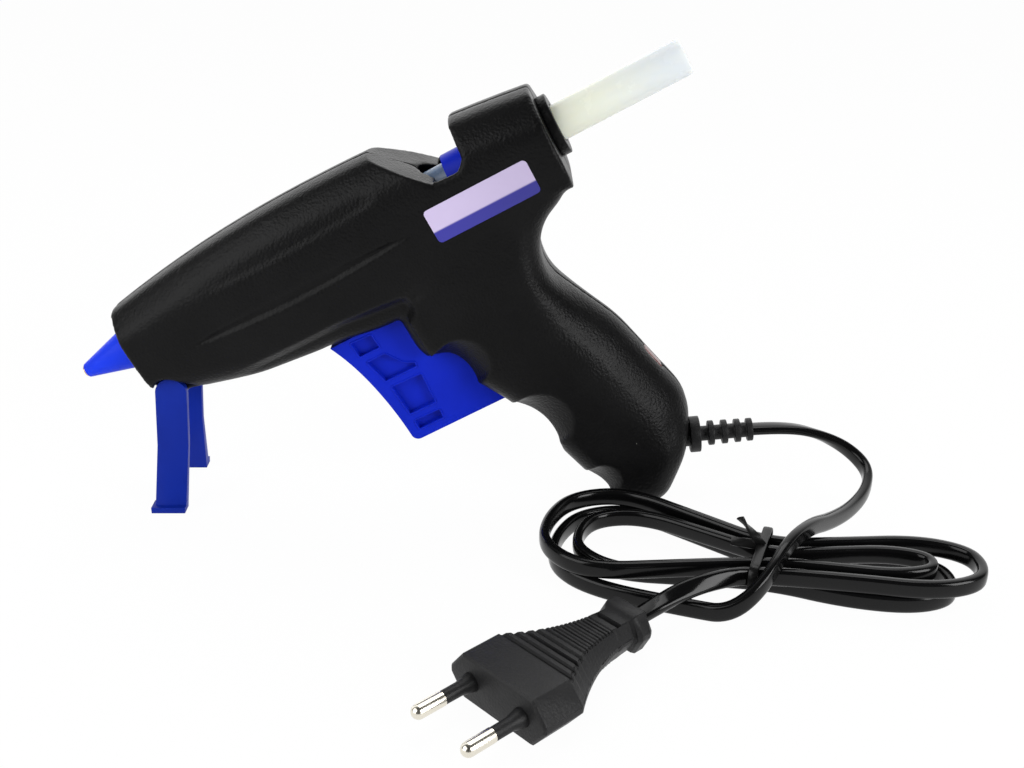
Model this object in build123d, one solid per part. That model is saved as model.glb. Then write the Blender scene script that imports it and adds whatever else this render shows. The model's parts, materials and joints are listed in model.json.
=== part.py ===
"""Hot-melt glue gun with a flip stand, a loaded stick and a tied mains cord.

Millimetres. X runs from the nozzle to the handle, Y from the near side to the far side, Z up.
The origin is on the surface that the gun stands on, below the middle of the gun.
"""
from build123d import *
import math
import os

# The gun's axis: the line of the nozzle, the heating chamber and the glue stick.
# A place along it is s, counted from the nozzle tip, and t is the height above it.
AXIS_TILT = 28.0
TIP_X = -97.9
TIP_Z = 42.6

# Casing
BARREL_FRONT = 20.5
BARREL_REAR = 169.2
HALF_WIDTH = 16.5
HANDLE_HALF_WIDTH = 16.3
NOSE_HALF_WIDTH = 12.8
TAPER_END = 85.0
WALL = 2.4
BARREL_ROUND = 9.0
HANDLE_ROUND = 8.0
TOP_AT_FRONT = 12.6
TOP_AT_MIDDLE = 17.2
TOP_AT_REAR = 11.3
BELLY = [(BARREL_REAR, -16.5), (120, -27.2), (75, -27.2), (54, -25.2)]
BELLY_AT_FRONT = -17.0
CHIN = [(19, -12.0), (20.5, -12.6), (25.5, -19.0), (25.5, -30), (19, -30)]
HANDLE_OUTLINE = [(2, 70), (44, 119), (58.5, 106.7), (41.6, 85.75), (74, 61.9), (98.2, 35.2), (98.4, 21),
                  (90.8, 0), (75.5, 0), (40, 36.3), (10, 55.2)]
HANDLE_RADII = [9.5, 9.5, 9.2, 17, 50, 20, 36, 9.5, 9.5, 30, 14]
HANDLE_ROOM_RADII = [9, 9, 9, 18, 50, 20, 36, 8.6, 8.6, 30, 14]
FINGER_GROOVES = [(15.5, 39.4, 14.4), (36.6, 15.4, 20.7), (62, -2.6, 13.4)]
NOTCH = [(116.4, 24), (120, 16.2), (133, 4.0), (141, 3.6), (143.7, 6.2), (143.7, 24)]
BARREL_SCREWS = [(41, -16.6), (72, -22.4), (108, -21.5), (158, -13.5)]
HANDLE_SCREWS = [(71.5, 48), (70.5, 13.5)]
SCREW_R = 1.45
SCREW_HEAD_R = 2.4
SCREW_HEAD_Y = 9.6
BOSS_R = 3.1
LABEL = (126.0, 160.0, -12.0, -1.2)

# Feed line
STICK_R = 5.6
STICK_FRONT = 62.0
STICK_REAR = 214.0
CHAMBER_R = 9.2
CHAMBER_FRONT = 25.2
CHAMBER_REAR = 106.0
CHAMBER_BORE_R = 5.95
NOZZLE_TIP_R = 1.9
NOZZLE_COLLAR_R = 6.0
BOOT_TIP_R = 2.35
BOOT_ROOT_R = 7.6
BALL_R = 1.9
CARRIAGE_FRONT = 136.0
CARRIAGE_REAR = 152.0
CARRIAGE_R = 7.8
GRIPPER_PIVOT = (142.4, -11.2)
RING_R = 9.6

# Trigger, rocker and carriage linkage
TRIGGER_HALF = 6.4
TRIGGER_TRAVEL = 8.0
TRIGGER_TOP = -28.7
TRIGGER_FOOT = -69.7
TRIGGER_TOE_ROUND = 2.4
POCKET_DEPTH = 2.2
ROCKER_S = 133.0
ROCKER_T = -24.0
ROCKER_LOW_ARM = 16.0
ROCKER_HIGH_ARM = 12.0
ROCKER_HALF = 1.5
ROCKER_PIN_R = 2.0
ROCKER_POST_Y = 8.0
RUNNING_GAP = 0.05
LINK_PIN_R = 1.5

# Flip stand
STAND_X = -68.2
STAND_Z = 39.5
LEG_HALF = 5.0
LEG_LEAN = 2.9
FOOT_LIP = 0.9
LEG_THICK = 2.4
LEG_TOP_Y = 8.8
LEG_KNEE_Z = 21.0
FOOT_Y = 18.4
FOOT_THICK = 2.0
STAND_FOLD = 75
AXLE_R = 1.8

# Cord
CORD_R = 2.1
CORD_WIDE = 5.4
CORD_THIN = 3.2
CLAMP_X = 83.5
CLAMP_THICK = 2.6
CLAMP_SCREW_Z = (12.6, 26.6)
INNER_CORD_Z = 18.6
CORD_EXIT = (120.0, 0.0, 21.6)
TIE_X = 116.0
TIE_Y = -62.0
LOW_LAYER = 3.6
HIGH_LAYER = 9.2
LEFT_HEADING = 160.0
RIGHT_HEADING = -4.0
OUTER_WAIST = 7.9
INNER_WAIST = 2.4
LEAD_ROUTE = [CORD_EXIT, (131, -0.4, 22.6), (142, -1.6, 20.6), (151.5, -4.4, 16.4), (156.8, -11.0, 12.0),
              (154.0, -20.5, 9.4), (146.5, -31.0, 8.6), (137.0, -43.0, 11.4), (127.8, -54.5, 16.4),
              (118.6, -66.5, 17.4), (110.0, -78.4, 10.6), (100.5, -81.6, 4.0), (91.0, -77.2, 3.0)]
PLUG_ROUTE = [(108.8, -69.4, 9.4), (98.0, -74.6, 11.2), (87.4, -78.4, 9.6)]

# Plug
PLUG_X = 36.3
PLUG_Y = -122.2
PLUG_Z = 6.95
PLUG_HEADING = 42.7
PLUG_LENGTH = 50.0
PLUG_WIDTH = 35.3
PLUG_THICK = 13.7
PIN_R = 2.0
PIN_LENGTH = 19.0
PIN_SPACING = 18.6
SLEEVE_LENGTH = 10.0

TILT_COS = math.cos(math.radians(AXIS_TILT))
TILT_SIN = math.sin(math.radians(AXIS_TILT))
FORWARD = Vector(TILT_COS, 0, TILT_SIN)
BASE = (Align.CENTER, Align.CENTER, Align.MIN)


def xz(s, t):
    """The X and Z of a place on the gun's own axis and height."""
    return (TIP_X + s * TILT_COS - t * TILT_SIN, TIP_Z + s * TILT_SIN + t * TILT_COS)


def st(x, z):
    """The axis place and height of a point at X and Z."""
    dx, dz = x - TIP_X, z - TIP_Z
    return (dx * TILT_COS + dz * TILT_SIN, dz * TILT_COS - dx * TILT_SIN)


def spot(s, t=0.0, y=0.0):
    x, z = xz(s, t)
    return Vector(x, y, z)


def section_plane(s, t=0.0, y=0.0):
    return Plane(origin=spot(s, t, y), x_dir=(0, 1, 0), z_dir=FORWARD)


def rod(s0, s1, r, t=0.0, y=0.0):
    """A round bar along the gun's axis."""
    return section_plane(s0, t, y) * Cylinder(r, s1 - s0, align=BASE)


def taper(s0, s1, r0, r1):
    """A cone along the gun's axis."""
    return section_plane(s0) * Cone(r0, r1, s1 - s0, align=BASE)


def pin(x, z, y0, y1, r):
    """A round bar across the gun."""
    return Plane(origin=(x, y0, z), x_dir=(1, 0, 0), z_dir=(0, 1, 0)) * Cylinder(r, y1 - y0, align=BASE)


def sheet(face, y0, y1):
    """A side-view face given its thickness from y0 to y1."""
    return extrude(Plane.XZ.offset(-y1) * face, amount=y1 - y0, dir=(0, -1, 0))


def prism(points, y0, y1):
    return sheet(make_face(Polyline(*points, close=True)), y0, y1)


def bar(s0, s1, t0, t1, y0, y1):
    """A rectangular bar square to the gun's axis."""
    return prism([xz(s0, t0), xz(s1, t0), xz(s1, t1), xz(s0, t1)], y0, y1)


def side_edges(body, reach, s0, s1):
    """The long edges along both sides of a casing body, which are rounded over."""
    height = Vector(-TILT_SIN, 0, TILT_COS)
    chosen = ShapeList()
    for edge in body.edges():
        middle = edge.center(CenterOf.BOUNDING_BOX)
        s, _ = st(middle.X, middle.Z)
        across = abs(edge.tangent_at(0.5).dot(height))
        along_y = abs(edge.tangent_at(0.5).Y)
        if abs(middle.Y) > reach and s0 < s < s1 and across < 0.9 and along_y < 0.5:
            chosen.append(edge)
    return chosen


def barrel_body(inset):
    """The barrel and rear block, drawn in by inset on every side."""
    front, rear = BARREL_FRONT + inset, BARREL_REAR - inset
    middle = (front + rear) / 2
    top_front = xz(front, TOP_AT_FRONT - inset)
    top_rear = xz(rear, TOP_AT_REAR - inset)
    low_front = xz(front, BELLY_AT_FRONT + inset)
    belly = [xz(min(s, rear), t + inset) for s, t in BELLY]
    edges = [Line(low_front, top_front),
             ThreePointArc(top_front, xz(middle, TOP_AT_MIDDLE - inset), top_rear),
             Line(top_rear, belly[0]),
             FilletPolyline(*belly, low_front, radius=[40, 60, 60])]
    flank = sheet(make_face(edges), inset - HALF_WIDTH, HALF_WIDTH - inset)
    nose, half = NOSE_HALF_WIDTH - inset, HALF_WIDTH - inset
    quarter = half - (half - nose) / 4
    bend = (front + TAPER_END) / 2
    plan_lines = [ThreePointArc((front, -nose), (bend, -quarter), (TAPER_END, -half)),
                  Polyline((TAPER_END, -half), (rear, -half), (rear, half), (TAPER_END, half)),
                  ThreePointArc((TAPER_END, half), (bend, quarter), (front, nose)),
                  Line((front, nose), (front, -nose))]
    above = Plane(origin=spot(0), x_dir=FORWARD, z_dir=(-TILT_SIN, 0, TILT_COS))
    plan = extrude(above * make_face(plan_lines), amount=60, both=True)
    body = flank & plan
    return fillet(side_edges(body, nose * 0.8, front + 0.5, rear - 0.5), BARREL_ROUND - inset)


def handle_body(inset):
    """The handle, drawn in by inset on every side."""
    radii = HANDLE_ROOM_RADII if inset else HANDLE_RADII
    outline = make_face(FilletPolyline(*HANDLE_OUTLINE, radius=radii, close=True))
    if inset:
        outline = offset(outline, amount=-inset)
    half = HANDLE_HALF_WIDTH - inset
    body = sheet(outline, -half, half)
    rims = body.faces().sort_by(Axis.Y)
    edges = rims[0].edges() + rims[-1].edges()
    return fillet(edges, HANDLE_ROUND - inset)


def stand_leg(gap=0.0):
    """A stand leg in side view: a bar with a round head that leans forward, fattened by gap."""
    half = LEG_HALF + gap
    low = -STAND_Z - gap
    rear, front = (half - LEG_LEAN, low), (-half - LEG_LEAN, low)
    head = ThreePointArc((half, 0), (0, half), (-half, 0))
    face = make_face([Line(front, rear), Line(rear, (half, 0)), head, Line((-half, 0), front)])
    return Pos(STAND_X, STAND_Z) * face


def stand_relief(gap, y0):
    """The room that the folding stand legs sweep beside the keel."""
    swept = None
    hinge = Axis((STAND_X, 0, STAND_Z), (0, -1, 0))
    for angle in range(0, STAND_FOLD + 1, 15):
        for near, far in ((-30, -y0), (y0, 30)):
            leg = sheet(stand_leg(gap), near, far).rotate(hinge, angle)
            swept = leg if swept is None else swept + leg
    return swept


def shell_ribs(room):
    """Cross walls inside the casing that hold the chamber, the sleeve and the carriage."""
    ribs = [(30.5, 33.0, -9.6, 20, CHAMBER_R + 0.15), (98.0, 100.5, -9.4, 20, CHAMBER_R + 0.15),
            (146.0, 149.5, -9.2, 20, CARRIAGE_R + 0.4)]
    walls = None
    for s0, s1, t0, t1, hole in ribs:
        wall = (bar(s0, s1, t0, t1, -20, 20) & room) - rod(s0 - 1, s1 + 1, hole)
        walls = wall if walls is None else walls + wall
    return walls


def bulkhead(body):
    """The sloping wall at the front of the top notch, with a hole for the stick."""
    slope = [xz(114.0, 14.6), xz(116.6, 19.5), xz(133.2, 3.9), xz(131.4, 1.9)]
    wall = (prism(slope, -20, 20) & body) - rod(100, 150, STICK_R + 1.0)
    return wall - rod(CARRIAGE_FRONT - 8, 150, CARRIAGE_R + 0.4)


def casing():
    """The whole casing, before it is parted into its two halves."""
    body = barrel_body(0) + handle_body(0)
    room = barrel_body(WALL) + handle_body(WALL)
    for x, z, r in FINGER_GROOVES:
        body -= pin(x, z, -30, 30, r)
        room -= pin(x, z, -30, 30, r + WALL)
    body -= prism([xz(s, t) for s, t in CHIN], -30, 30)
    room -= prism([xz(s + 1.9, t + 1.5) for s, t in CHIN], -30, 30)
    keel_half = LEG_TOP_Y - 0.4
    body -= stand_relief(0.6, keel_half)
    room -= stand_relief(0.6 + WALL, keel_half - WALL)
    lug = pin(STAND_X, STAND_Z, -keel_half, keel_half, 4.2)
    body += lug
    room -= lug
    shell = body - room
    shell += shell_ribs(room)
    shell += bulkhead(body)
    for x, z in screw_places():
        shell += pin(x, z, -HALF_WIDTH, HALF_WIDTH, BOSS_R) & body
    return shell, body


def screw_places():
    return [xz(s, t) for s, t in BARREL_SCREWS] + HANDLE_SCREWS


def casing_openings():
    """Everything that is cut through the casing."""
    cuts = prism([xz(s, t) for s, t in NOTCH], -40, 40) - bulkhead_keep()
    cuts += rod(BARREL_FRONT - 5, BARREL_FRONT + WALL + 0.4, BOOT_ROOT_R + 0.4)
    cuts += rod(BARREL_REAR - WALL - 2, BARREL_REAR + 5, 6.9)
    slot_half = TRIGGER_HALF + 0.4
    cuts += bar(60, 138, TRIGGER_FOOT - 0.6, TRIGGER_TOP + 0.5, -slot_half, slot_half)
    cuts += pin(STAND_X, STAND_Z, -20, 20, AXLE_R + RUNNING_GAP)
    cuts += strain_relief_neck(0.1)
    cuts += lens_block(4.35, 2.6, -6, 6)
    return cuts


def bulkhead_keep():
    """The notch stops at the face of the sloping wall."""
    return prism([xz(110, 20), xz(116.6, 19.5), xz(133.2, 3.9), xz(110, -5)], -40, 40)


def lens_plane():
    """The plane of the indicator lens on the back of the handle."""
    slope = math.radians(-47.8)
    along = Vector(math.cos(slope), 0, math.sin(slope))
    out = Vector(-math.sin(slope), 0, math.cos(slope))
    return Plane(origin=Vector(86.2, 0, 48.3), x_dir=along, z_dir=out)


def lens_block(half_length, half_width, low, high):
    """A block on the back of the handle, where the indicator shows."""
    return lens_plane() * (Pos(0, 0, low) * Box(2 * half_length, 2 * half_width, high - low, align=BASE))


def relief_plane(distance):
    """A plane across the strain relief, at a distance from the back of the handle."""
    rise = math.radians(5.6)
    out = Vector(math.cos(rise), 0, math.sin(rise))
    return Plane(origin=Vector(98.6, 0, 19.5) + out * distance, x_dir=(0, 1, 0), z_dir=out)


def strain_relief_neck(gap):
    return relief_plane(-7.0) * Cylinder(3.9 + gap, 9.0, align=BASE)


def cap_screw(x, z, head_y, tip_y, shank_r, head_r, head_height):
    """A countersunk-pocket screw that lies across the gun, with a cross recess in its head."""
    screw = pin(x, z, tip_y, head_y, shank_r) + pin(x, z, head_y, head_y + head_height, head_r)
    for turn in (0, 90):
        recess = Pos(x, head_y + head_height, z) * Rot(0, turn, 0) * Box(head_r * 1.2, 1.6, 0.7)
        screw -= recess
    return screw


def heating_chamber():
    body = rod(CHAMBER_FRONT, 30.0, 7.0) + rod(30.0, CHAMBER_REAR, CHAMBER_R)
    body += bar(45, 96, -16.2, -6.0, -7.0, 7.0)
    body -= rod(52, CHAMBER_REAR + 1, CHAMBER_BORE_R)
    body -= taper(40, 52, 2.6, CHAMBER_BORE_R)
    body -= rod(CHAMBER_FRONT - 1, 30.4, 4.6)
    body -= rod(30.4, 40, 2.6)
    return body - bar(44, 97, -14.8, -10.4, -5.4, 5.4)


def nozzle():
    """A brass cone with a collar, a threaded neck and a ball valve chamber."""
    body = taper(0, 18.5, NOZZLE_TIP_R, NOZZLE_COLLAR_R) + rod(18.5, CHAMBER_FRONT, NOZZLE_COLLAR_R)
    body += rod(CHAMBER_FRONT, 30.2, 4.55)
    body -= rod(-1, 6.0, 0.75)
    body -= rod(6.0, 16.0, BALL_R + 0.35)
    return body - rod(16.0, 31.0, 1.3)


def nozzle_boot():
    body = taper(0.5, 20.4, BOOT_TIP_R, BOOT_ROOT_R) + rod(20.4, 23.2, BOOT_ROOT_R)
    body += rod(23.2, 25.0, 8.2)
    body -= taper(0, 18.5, NOZZLE_TIP_R + 0.12, NOZZLE_COLLAR_R + 0.12)
    return body - rod(18.4, 26, NOZZLE_COLLAR_R + 0.12)


def rear_guide_ring():
    """The ring round the stick at the back, with a spigot in the rear wall."""
    body = rod(BARREL_REAR, BARREL_REAR + 3.0, RING_R) + rod(BARREL_REAR - 2.3, BARREL_REAR, 6.85)
    return body - rod(BARREL_REAR - 3, BARREL_REAR + 4, STICK_R + 0.5)


def coil_spring(plane, radius, wire_r, height, pitch):
    """An open helical spring that stands on a plane."""
    path = Helix(pitch=pitch, height=height, radius=radius)
    start = path @ 0
    profile = Plane(origin=start, z_dir=path % 0) * Circle(wire_r)
    return plane * sweep(profile, path=path, is_frenet=True)


def feed_carriage():
    """The collar round the stick, with a lug below for the rocker and the gripper."""
    body = rod(CARRIAGE_FRONT, CARRIAGE_REAR, CARRIAGE_R)
    body += bar(CARRIAGE_FRONT - 2.5, 145.0, -14.4, -5.0, -5.2, 5.2)
    body -= rod(CARRIAGE_FRONT - 4, CARRIAGE_REAR + 1, STICK_R + 0.7)
    body -= bar(CARRIAGE_FRONT - 4, 146.0, -15.4, -4.0, -2.2, 2.2)
    high_s = ROCKER_S + TRIGGER_TRAVEL / 2 * ROCKER_HIGH_ARM / ROCKER_LOW_ARM
    x, z = xz(high_s, ROCKER_T + ROCKER_HIGH_ARM)
    body += pin(x, z, -5.2, 5.2, LINK_PIN_R)
    x, z = xz(*GRIPPER_PIVOT)
    return body - pin(x, z, -6, 6, 1.0)


def stick_gripper():
    """A toothed plate that tips up under the stick when the carriage is pushed forward."""
    s, t = GRIPPER_PIVOT
    plate = [xz(s - 1.9, t - 1.8), xz(s + 1.9, t - 1.8), xz(s + 3.2, t + 4.0), xz(s + 2.3, t + 5.0),
             xz(s - 1.9, t + 1.6)]
    x, z = xz(s, t)
    return prism(plate, -1.9, 1.9) - pin(x, z, -3, 3, 1.0 + RUNNING_GAP)


def rocker_lever():
    """A flat lever on a fixed pin, with a slot at each end for the trigger and the carriage."""
    lean = math.degrees(math.atan(TRIGGER_TRAVEL / 2 / ROCKER_LOW_ARM))
    outline = [(-3.4, -19.5), (3.4, -19.5), (4.4, 0), (3.0, 14.3), (-3.0, 14.3), (-4.4, 0)]
    blade = make_face(FilletPolyline(*outline, radius=2.0, close=True))
    blade -= Circle(ROCKER_PIN_R + RUNNING_GAP)
    for arm in (-ROCKER_LOW_ARM, ROCKER_HIGH_ARM):
        blade -= Pos(0, arm) * Rot(0, 0, 90) * SlotCenterToCenter(1.6, 2 * (LINK_PIN_R + 0.35))
    x, z = xz(ROCKER_S, ROCKER_T)
    placed = Pos(x, z) * Rot(0, 0, AXIS_TILT - lean) * blade
    return sheet(placed, -ROCKER_HALF, ROCKER_HALF)


def rocker_spring():
    """A torsion spring round the rocker pin, beside the lever."""
    x, z = xz(ROCKER_S, ROCKER_T)
    coil_plane = Plane(origin=(x, ROCKER_HALF + 0.9, z), x_dir=(1, 0, 0), z_dir=(0, 1, 0))
    return coil_spring(coil_plane, ROCKER_PIN_R + 1.0, 0.4, 4.4, 1.1)


def trigger():
    """The finger plate with its side pockets, and the fork that holds the rocker's low end."""
    front = [xz(76.0, TRIGGER_TOP), xz(79.6, -38.4), xz(81.9, -48.8), xz(83.2, -59.3), xz(83.6, TRIGGER_FOOT)]
    rear = [xz(118, TRIGGER_FOOT), xz(122, -58), xz(122, -46), xz(131.4, -43.6), xz(131.4, -36.4),
            xz(120, -36.4), xz(116, TRIGGER_TOP)]
    face = make_face([Spline(*front), Polyline(front[-1], *rear, front[0])])
    face = fillet(face.vertices().sort_by_distance((*front[-1], 0))[0], TRIGGER_TOE_ROUND)
    body = sheet(face, -TRIGGER_HALF, TRIGGER_HALF)
    pockets = [[(82.4, -30.0), (90.0, -30.4), (90.3, -35.7), (82.7, -35.7)],
               [(83.7, -38.0), (90.6, -38.0), (94.1, -43.3), (97.6, -45.2), (97.4, -46.8), (85.8, -46.8)],
               [(86.3, -49.0), (97.4, -49.4), (96.6, -60.7), (86.9, -60.5)],
               [(87.0, -62.9), (96.5, -63.1), (96.1, -66.6), (86.9, -66.7)]]
    floor = TRIGGER_HALF - POCKET_DEPTH
    for corners in pockets:
        outline = make_face(FilletPolyline(*[xz(s, t) for s, t in corners], radius=0.6, close=True))
        body -= sheet(outline, -TRIGGER_HALF - 1, -floor)
        body -= sheet(outline, floor, TRIGGER_HALF + 1)
    body -= bar(119, 140, -46, -30, -ROCKER_HALF - 0.7, ROCKER_HALF + 0.7)
    low_s = ROCKER_S - TRIGGER_TRAVEL / 2
    x, z = xz(low_s, ROCKER_T - ROCKER_LOW_ARM)
    return body + pin(x, z, -TRIGGER_HALF, TRIGGER_HALF, LINK_PIN_R)


def stand():
    """Two splayed legs on one cross axle."""
    body = pin(STAND_X, STAND_Z, -LEG_TOP_Y - 0.5, LEG_TOP_Y + 0.5, AXLE_R)
    inner, outer = LEG_TOP_Y, LEG_TOP_Y + LEG_THICK
    slant = FOOT_Y - 2.0 - outer
    top = STAND_Z + LEG_HALF + 1
    splay = [(inner, top), (outer, top), (outer, LEG_KNEE_Z), (outer + slant, FOOT_THICK),
             (FOOT_Y, FOOT_THICK), (FOOT_Y, 0), (inner + slant - 0.5, 0), (inner, LEG_KNEE_Z + 0.6)]
    toe = STAND_X - LEG_LEAN - LEG_HALF
    side_view = sheet(stand_leg(), -30, 30)
    lip = Box(3, 60, FOOT_THICK, align=(Align.MIN, Align.CENTER, Align.MIN))
    side_view += Pos(toe - FOOT_LIP, 0, 0) * lip
    for side in (-1, 1):
        front_view = make_face(Polyline(*[(side * y, z) for y, z in splay], close=True))
        body += extrude(Plane.YZ.offset(STAND_X - 30) * front_view, amount=60, dir=(1, 0, 0)) & side_view
    return body


def strain_relief():
    """A moulded flange, a slim core and four ribs that bend with the cord."""
    body = relief_plane(0.6) * Cylinder(6.0, 3.4, align=BASE)
    body += strain_relief_neck(0) + relief_plane(-9.0) * Cylinder(5.2, 2.0, align=BASE)
    body += relief_plane(4.0) * Cone(3.4, 2.9, 17.4, align=BASE)
    for place, radius, thick in ((6.6, 4.4, 2.3), (10.6, 4.3, 2.2), (14.6, 4.2, 2.0), (18.6, 4.1, 1.6)):
        body += relief_plane(place) * Cylinder(radius, thick, align=BASE)
    return body


def lobe(heading, reach, half, start_side, waist0, waist1, z0, z1):
    """The corners of one end loop of the hank, from one side of the tie round to the other."""
    turn = math.radians(heading)
    along = Vector(math.cos(turn), math.sin(turn), 0)
    far = Vector(0, 1, 0) - along * along.Y
    far = far / far.length
    outline = [(0.0, waist0, 0.0), (0.36, None, 0.2), (0.72, half, 0.4), (0.95, 0.64 * half, 0.45),
               (1.0, 0.0, 0.5), (0.95, -0.64 * half, 0.55), (0.72, -half, 0.6), (0.36, None, 0.8)]
    corners = []
    for share, out, climb in outline:
        if out is None:
            waist = waist0 if climb < 0.5 else -waist1
            out = (0.45 * waist + 0.5 * half * (1 if climb < 0.5 else -1))
        point = Vector(TIE_X, TIE_Y, z0 + (z1 - z0) * climb)
        corners.append(point + along * (share * reach) + far * (start_side * out))
    return corners


def hank_route():
    """Three loops through the tie: in along the low layer, and out along the high one."""
    low, high = LOW_LAYER, HIGH_LAYER
    loops = [(LEFT_HEADING, 66, 23.5, -1, OUTER_WAIST, OUTER_WAIST, low, low),
             (RIGHT_HEADING, 52, 11.8, 1, OUTER_WAIST, OUTER_WAIST, low, low),
             (LEFT_HEADING, 59, 16.2, -1, INNER_WAIST, INNER_WAIST, low, high),
             (RIGHT_HEADING, 46, 6.4, 1, INNER_WAIST, INNER_WAIST, high, high),
             (LEFT_HEADING, 69, 24.0, -1, INNER_WAIST, OUTER_WAIST, high, high),
             (RIGHT_HEADING, 60, 12.8, 1, OUTER_WAIST, OUTER_WAIST, high, high)]
    route = []
    for loop in loops:
        route += lobe(*loop)
    return route[2:]


def tube_path(points):
    """Straight runs joined by arcs as large as the runs allow."""
    points = [Vector(*p) for p in points]
    radii = []
    for before, corner, after in zip(points, points[1:], points[2:]):
        turn = (corner - before).get_angle(after - corner)
        shorter = min((corner - before).length, (after - corner).length)
        radii.append(0.45 * shorter / math.tan(math.radians(turn / 2)))
    return FilletPolyline(*points, radius=radii), radii


def cord_tube(name, points):
    path, radii = tube_path(points)
    profile = Plane(origin=path @ 0, z_dir=path % 0) * Circle(CORD_R)
    tube = sweep(profile, path=path)
    expected = math.pi * CORD_R ** 2 * path.length
    print(f"{name}: length {path.length:.0f}, least radius {min(radii):.1f},"
          f" volume {tube.volume:.0f} for {expected:.0f}")
    return tube, path


def halfway(a, b):
    return (Vector(*a) + Vector(*b)) / 2


def cord_parts():
    """The lead, the hank and the plug lead, cut where their straight runs meet."""
    hank = hank_route()
    plug_run = [plug_plane(PLUG_LENGTH + gap).origin for gap in (8.5, 0)]
    into = halfway(LEAD_ROUTE[-1], hank[0])
    out = halfway(hank[-1], PLUG_ROUTE[0])
    lead, lead_path = cord_tube("cord_lead", [*LEAD_ROUTE, into])
    loops, loops_path = cord_tube("cord_hank", [into, *hank, out])
    tail, tail_path = cord_tube("plug_lead", [out, *PLUG_ROUTE, *plug_run])
    print_least_gap(loops_path)
    print(f"cord length {lead_path.length + loops_path.length + tail_path.length:.0f}")
    return lead, loops, tail


def print_least_gap(path):
    """The least gap of the hank to itself, between points that are not neighbours along it."""
    count = int(path.length / 1.5)
    points = [path @ (i / count) for i in range(count + 1)]
    skip = int(6 * CORD_R / 1.5) + 1
    least = min((points[i] - points[j]).length for i in range(count) for j in range(i + skip, count + 1))
    print(f"hank's least gap to itself {least - 2 * CORD_R:.2f}")


def twist_tie():
    """A wire bent round the waist of the hank, with its two ends twisted and turned out."""
    wire_r = 0.7
    turn = math.radians(LEFT_HEADING)
    along = Vector(math.cos(turn), math.sin(turn), 0)
    across = Vector(-along.Y, along.X, 0)
    plane = Plane(origin=Vector(TIE_X, TIE_Y, 0) + along * 3.5, x_dir=across, z_dir=along)
    half, low, high = 13.4, 0.75, 13.0
    sign = 1 if plane.y_dir.Z > 0 else -1
    outline = [(-half, sign * low), (half, sign * low), (half, sign * high), (-half, sign * high)]
    loop = FilletPolyline(*outline, radius=1.3, close=True)
    start = loop @ 0
    ring = plane * sweep(Plane(origin=start, z_dir=loop % 0) * Circle(wire_r), path=loop)
    root = (plane * Pos(-2, sign * high, 0)).position
    knot = Pos(*root) * Cylinder(1.3, 3.2, align=BASE)
    for lean, length in (((-0.8, 0.1, 0.58), 8.5), ((-0.99, 0.05, 0.1), 11.5)):
        knot += Plane(origin=root + Vector(0, 0, 2.4), z_dir=lean) * Cylinder(0.9, length, align=BASE)
    return ring + knot


def plug_plane(distance):
    """A plane across the plug, at a distance from its pin face towards the cord."""
    turn = math.radians(PLUG_HEADING)
    along = Vector(math.cos(turn), math.sin(turn), 0)
    across = Vector(math.sin(turn), -math.cos(turn), 0)
    return Plane(origin=Vector(PLUG_X, PLUG_Y, PLUG_Z) + along * distance, x_dir=across, z_dir=along)


def plug_section(distance, width, thick, corner):
    """A cross section of the plug: a flat hexagon with blunt sides."""
    half_w, half_t = width / 2, thick / 2
    points = [(-half_w, -half_t + corner), (-half_w, half_t - corner), (-half_w + corner, half_t),
              (half_w - corner, half_t), (half_w, half_t - corner), (half_w, -half_t + corner),
              (half_w - corner, -half_t), (-half_w + corner, -half_t)]
    return plug_plane(distance) * make_face(Polyline(*points, close=True))


def plug_body():
    head = extrude(plug_section(0, PLUG_WIDTH, PLUG_THICK, 4.6), amount=13)
    waist = loft([plug_section(13, PLUG_WIDTH - 3.0, PLUG_THICK - 1.0, 4.4),
                  plug_section(38, 15.0, 10.6, 3.4)], ruled=True)
    neck = loft([plug_section(38, 15.0, 10.6, 3.4), plug_section(45, 12.0, 9.4, 3.0)], ruled=True)
    collar = extrude(plug_section(45, 14.6, 11.6, 3.4), amount=PLUG_LENGTH - 45)
    return head + waist + neck + collar


def plug_pins():
    """The bare, round-ended tips of the pins."""
    pins = []
    for side in (-1, 1):
        at = plug_plane(PIN_R - PIN_LENGTH) * Pos(side * PIN_SPACING / 2, 0, 0)
        shank = Cylinder(PIN_R, PIN_LENGTH - PIN_R - SLEEVE_LENGTH, align=BASE)
        pins.append(at * (shank + Sphere(PIN_R)))
    return pins


def pin_sleeves():
    """The covered roots of the pins, flush with the tips."""
    sleeves = []
    for side in (-1, 1):
        at = plug_plane(-SLEEVE_LENGTH) * Pos(side * PIN_SPACING / 2, 0, 0)
        sleeves.append(at * Cylinder(PIN_R, SLEEVE_LENGTH, align=BASE))
    return sleeves


def heater_lead(height, y, drop, bend_x, foot):
    """An insulated wire from an electrode, along the far side, down to the cord end."""
    route = [spot(97.2, height, 1.0), spot(103, height, 2.0), spot(112, -15.5 - drop, y),
             spot(128, -29.5 - drop, y), Vector(47.5 - drop, y, 63.2 - drop),
             Vector(63.5 - drop, y, 43.2 - drop), Vector(bend_x, 6.0, 29), Vector(bend_x + 4.4, 0, foot),
             Vector(80.4, 0, foot)]
    path = FilletPolyline(*route, radius=[2, 3, 3, 3, 3, 2, 1.2])
    return sweep(Plane(origin=path @ 0, z_dir=path % 0) * Circle(0.8), path=path)


def cord_end():
    """The end of the flat cord inside the handle."""
    align = (Align.MIN, Align.CENTER, Align.CENTER)
    return Pos(CLAMP_X - 3, 0, INNER_CORD_Z) * Box(8.5, CORD_THIN, CORD_WIDE, align=align)


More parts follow.
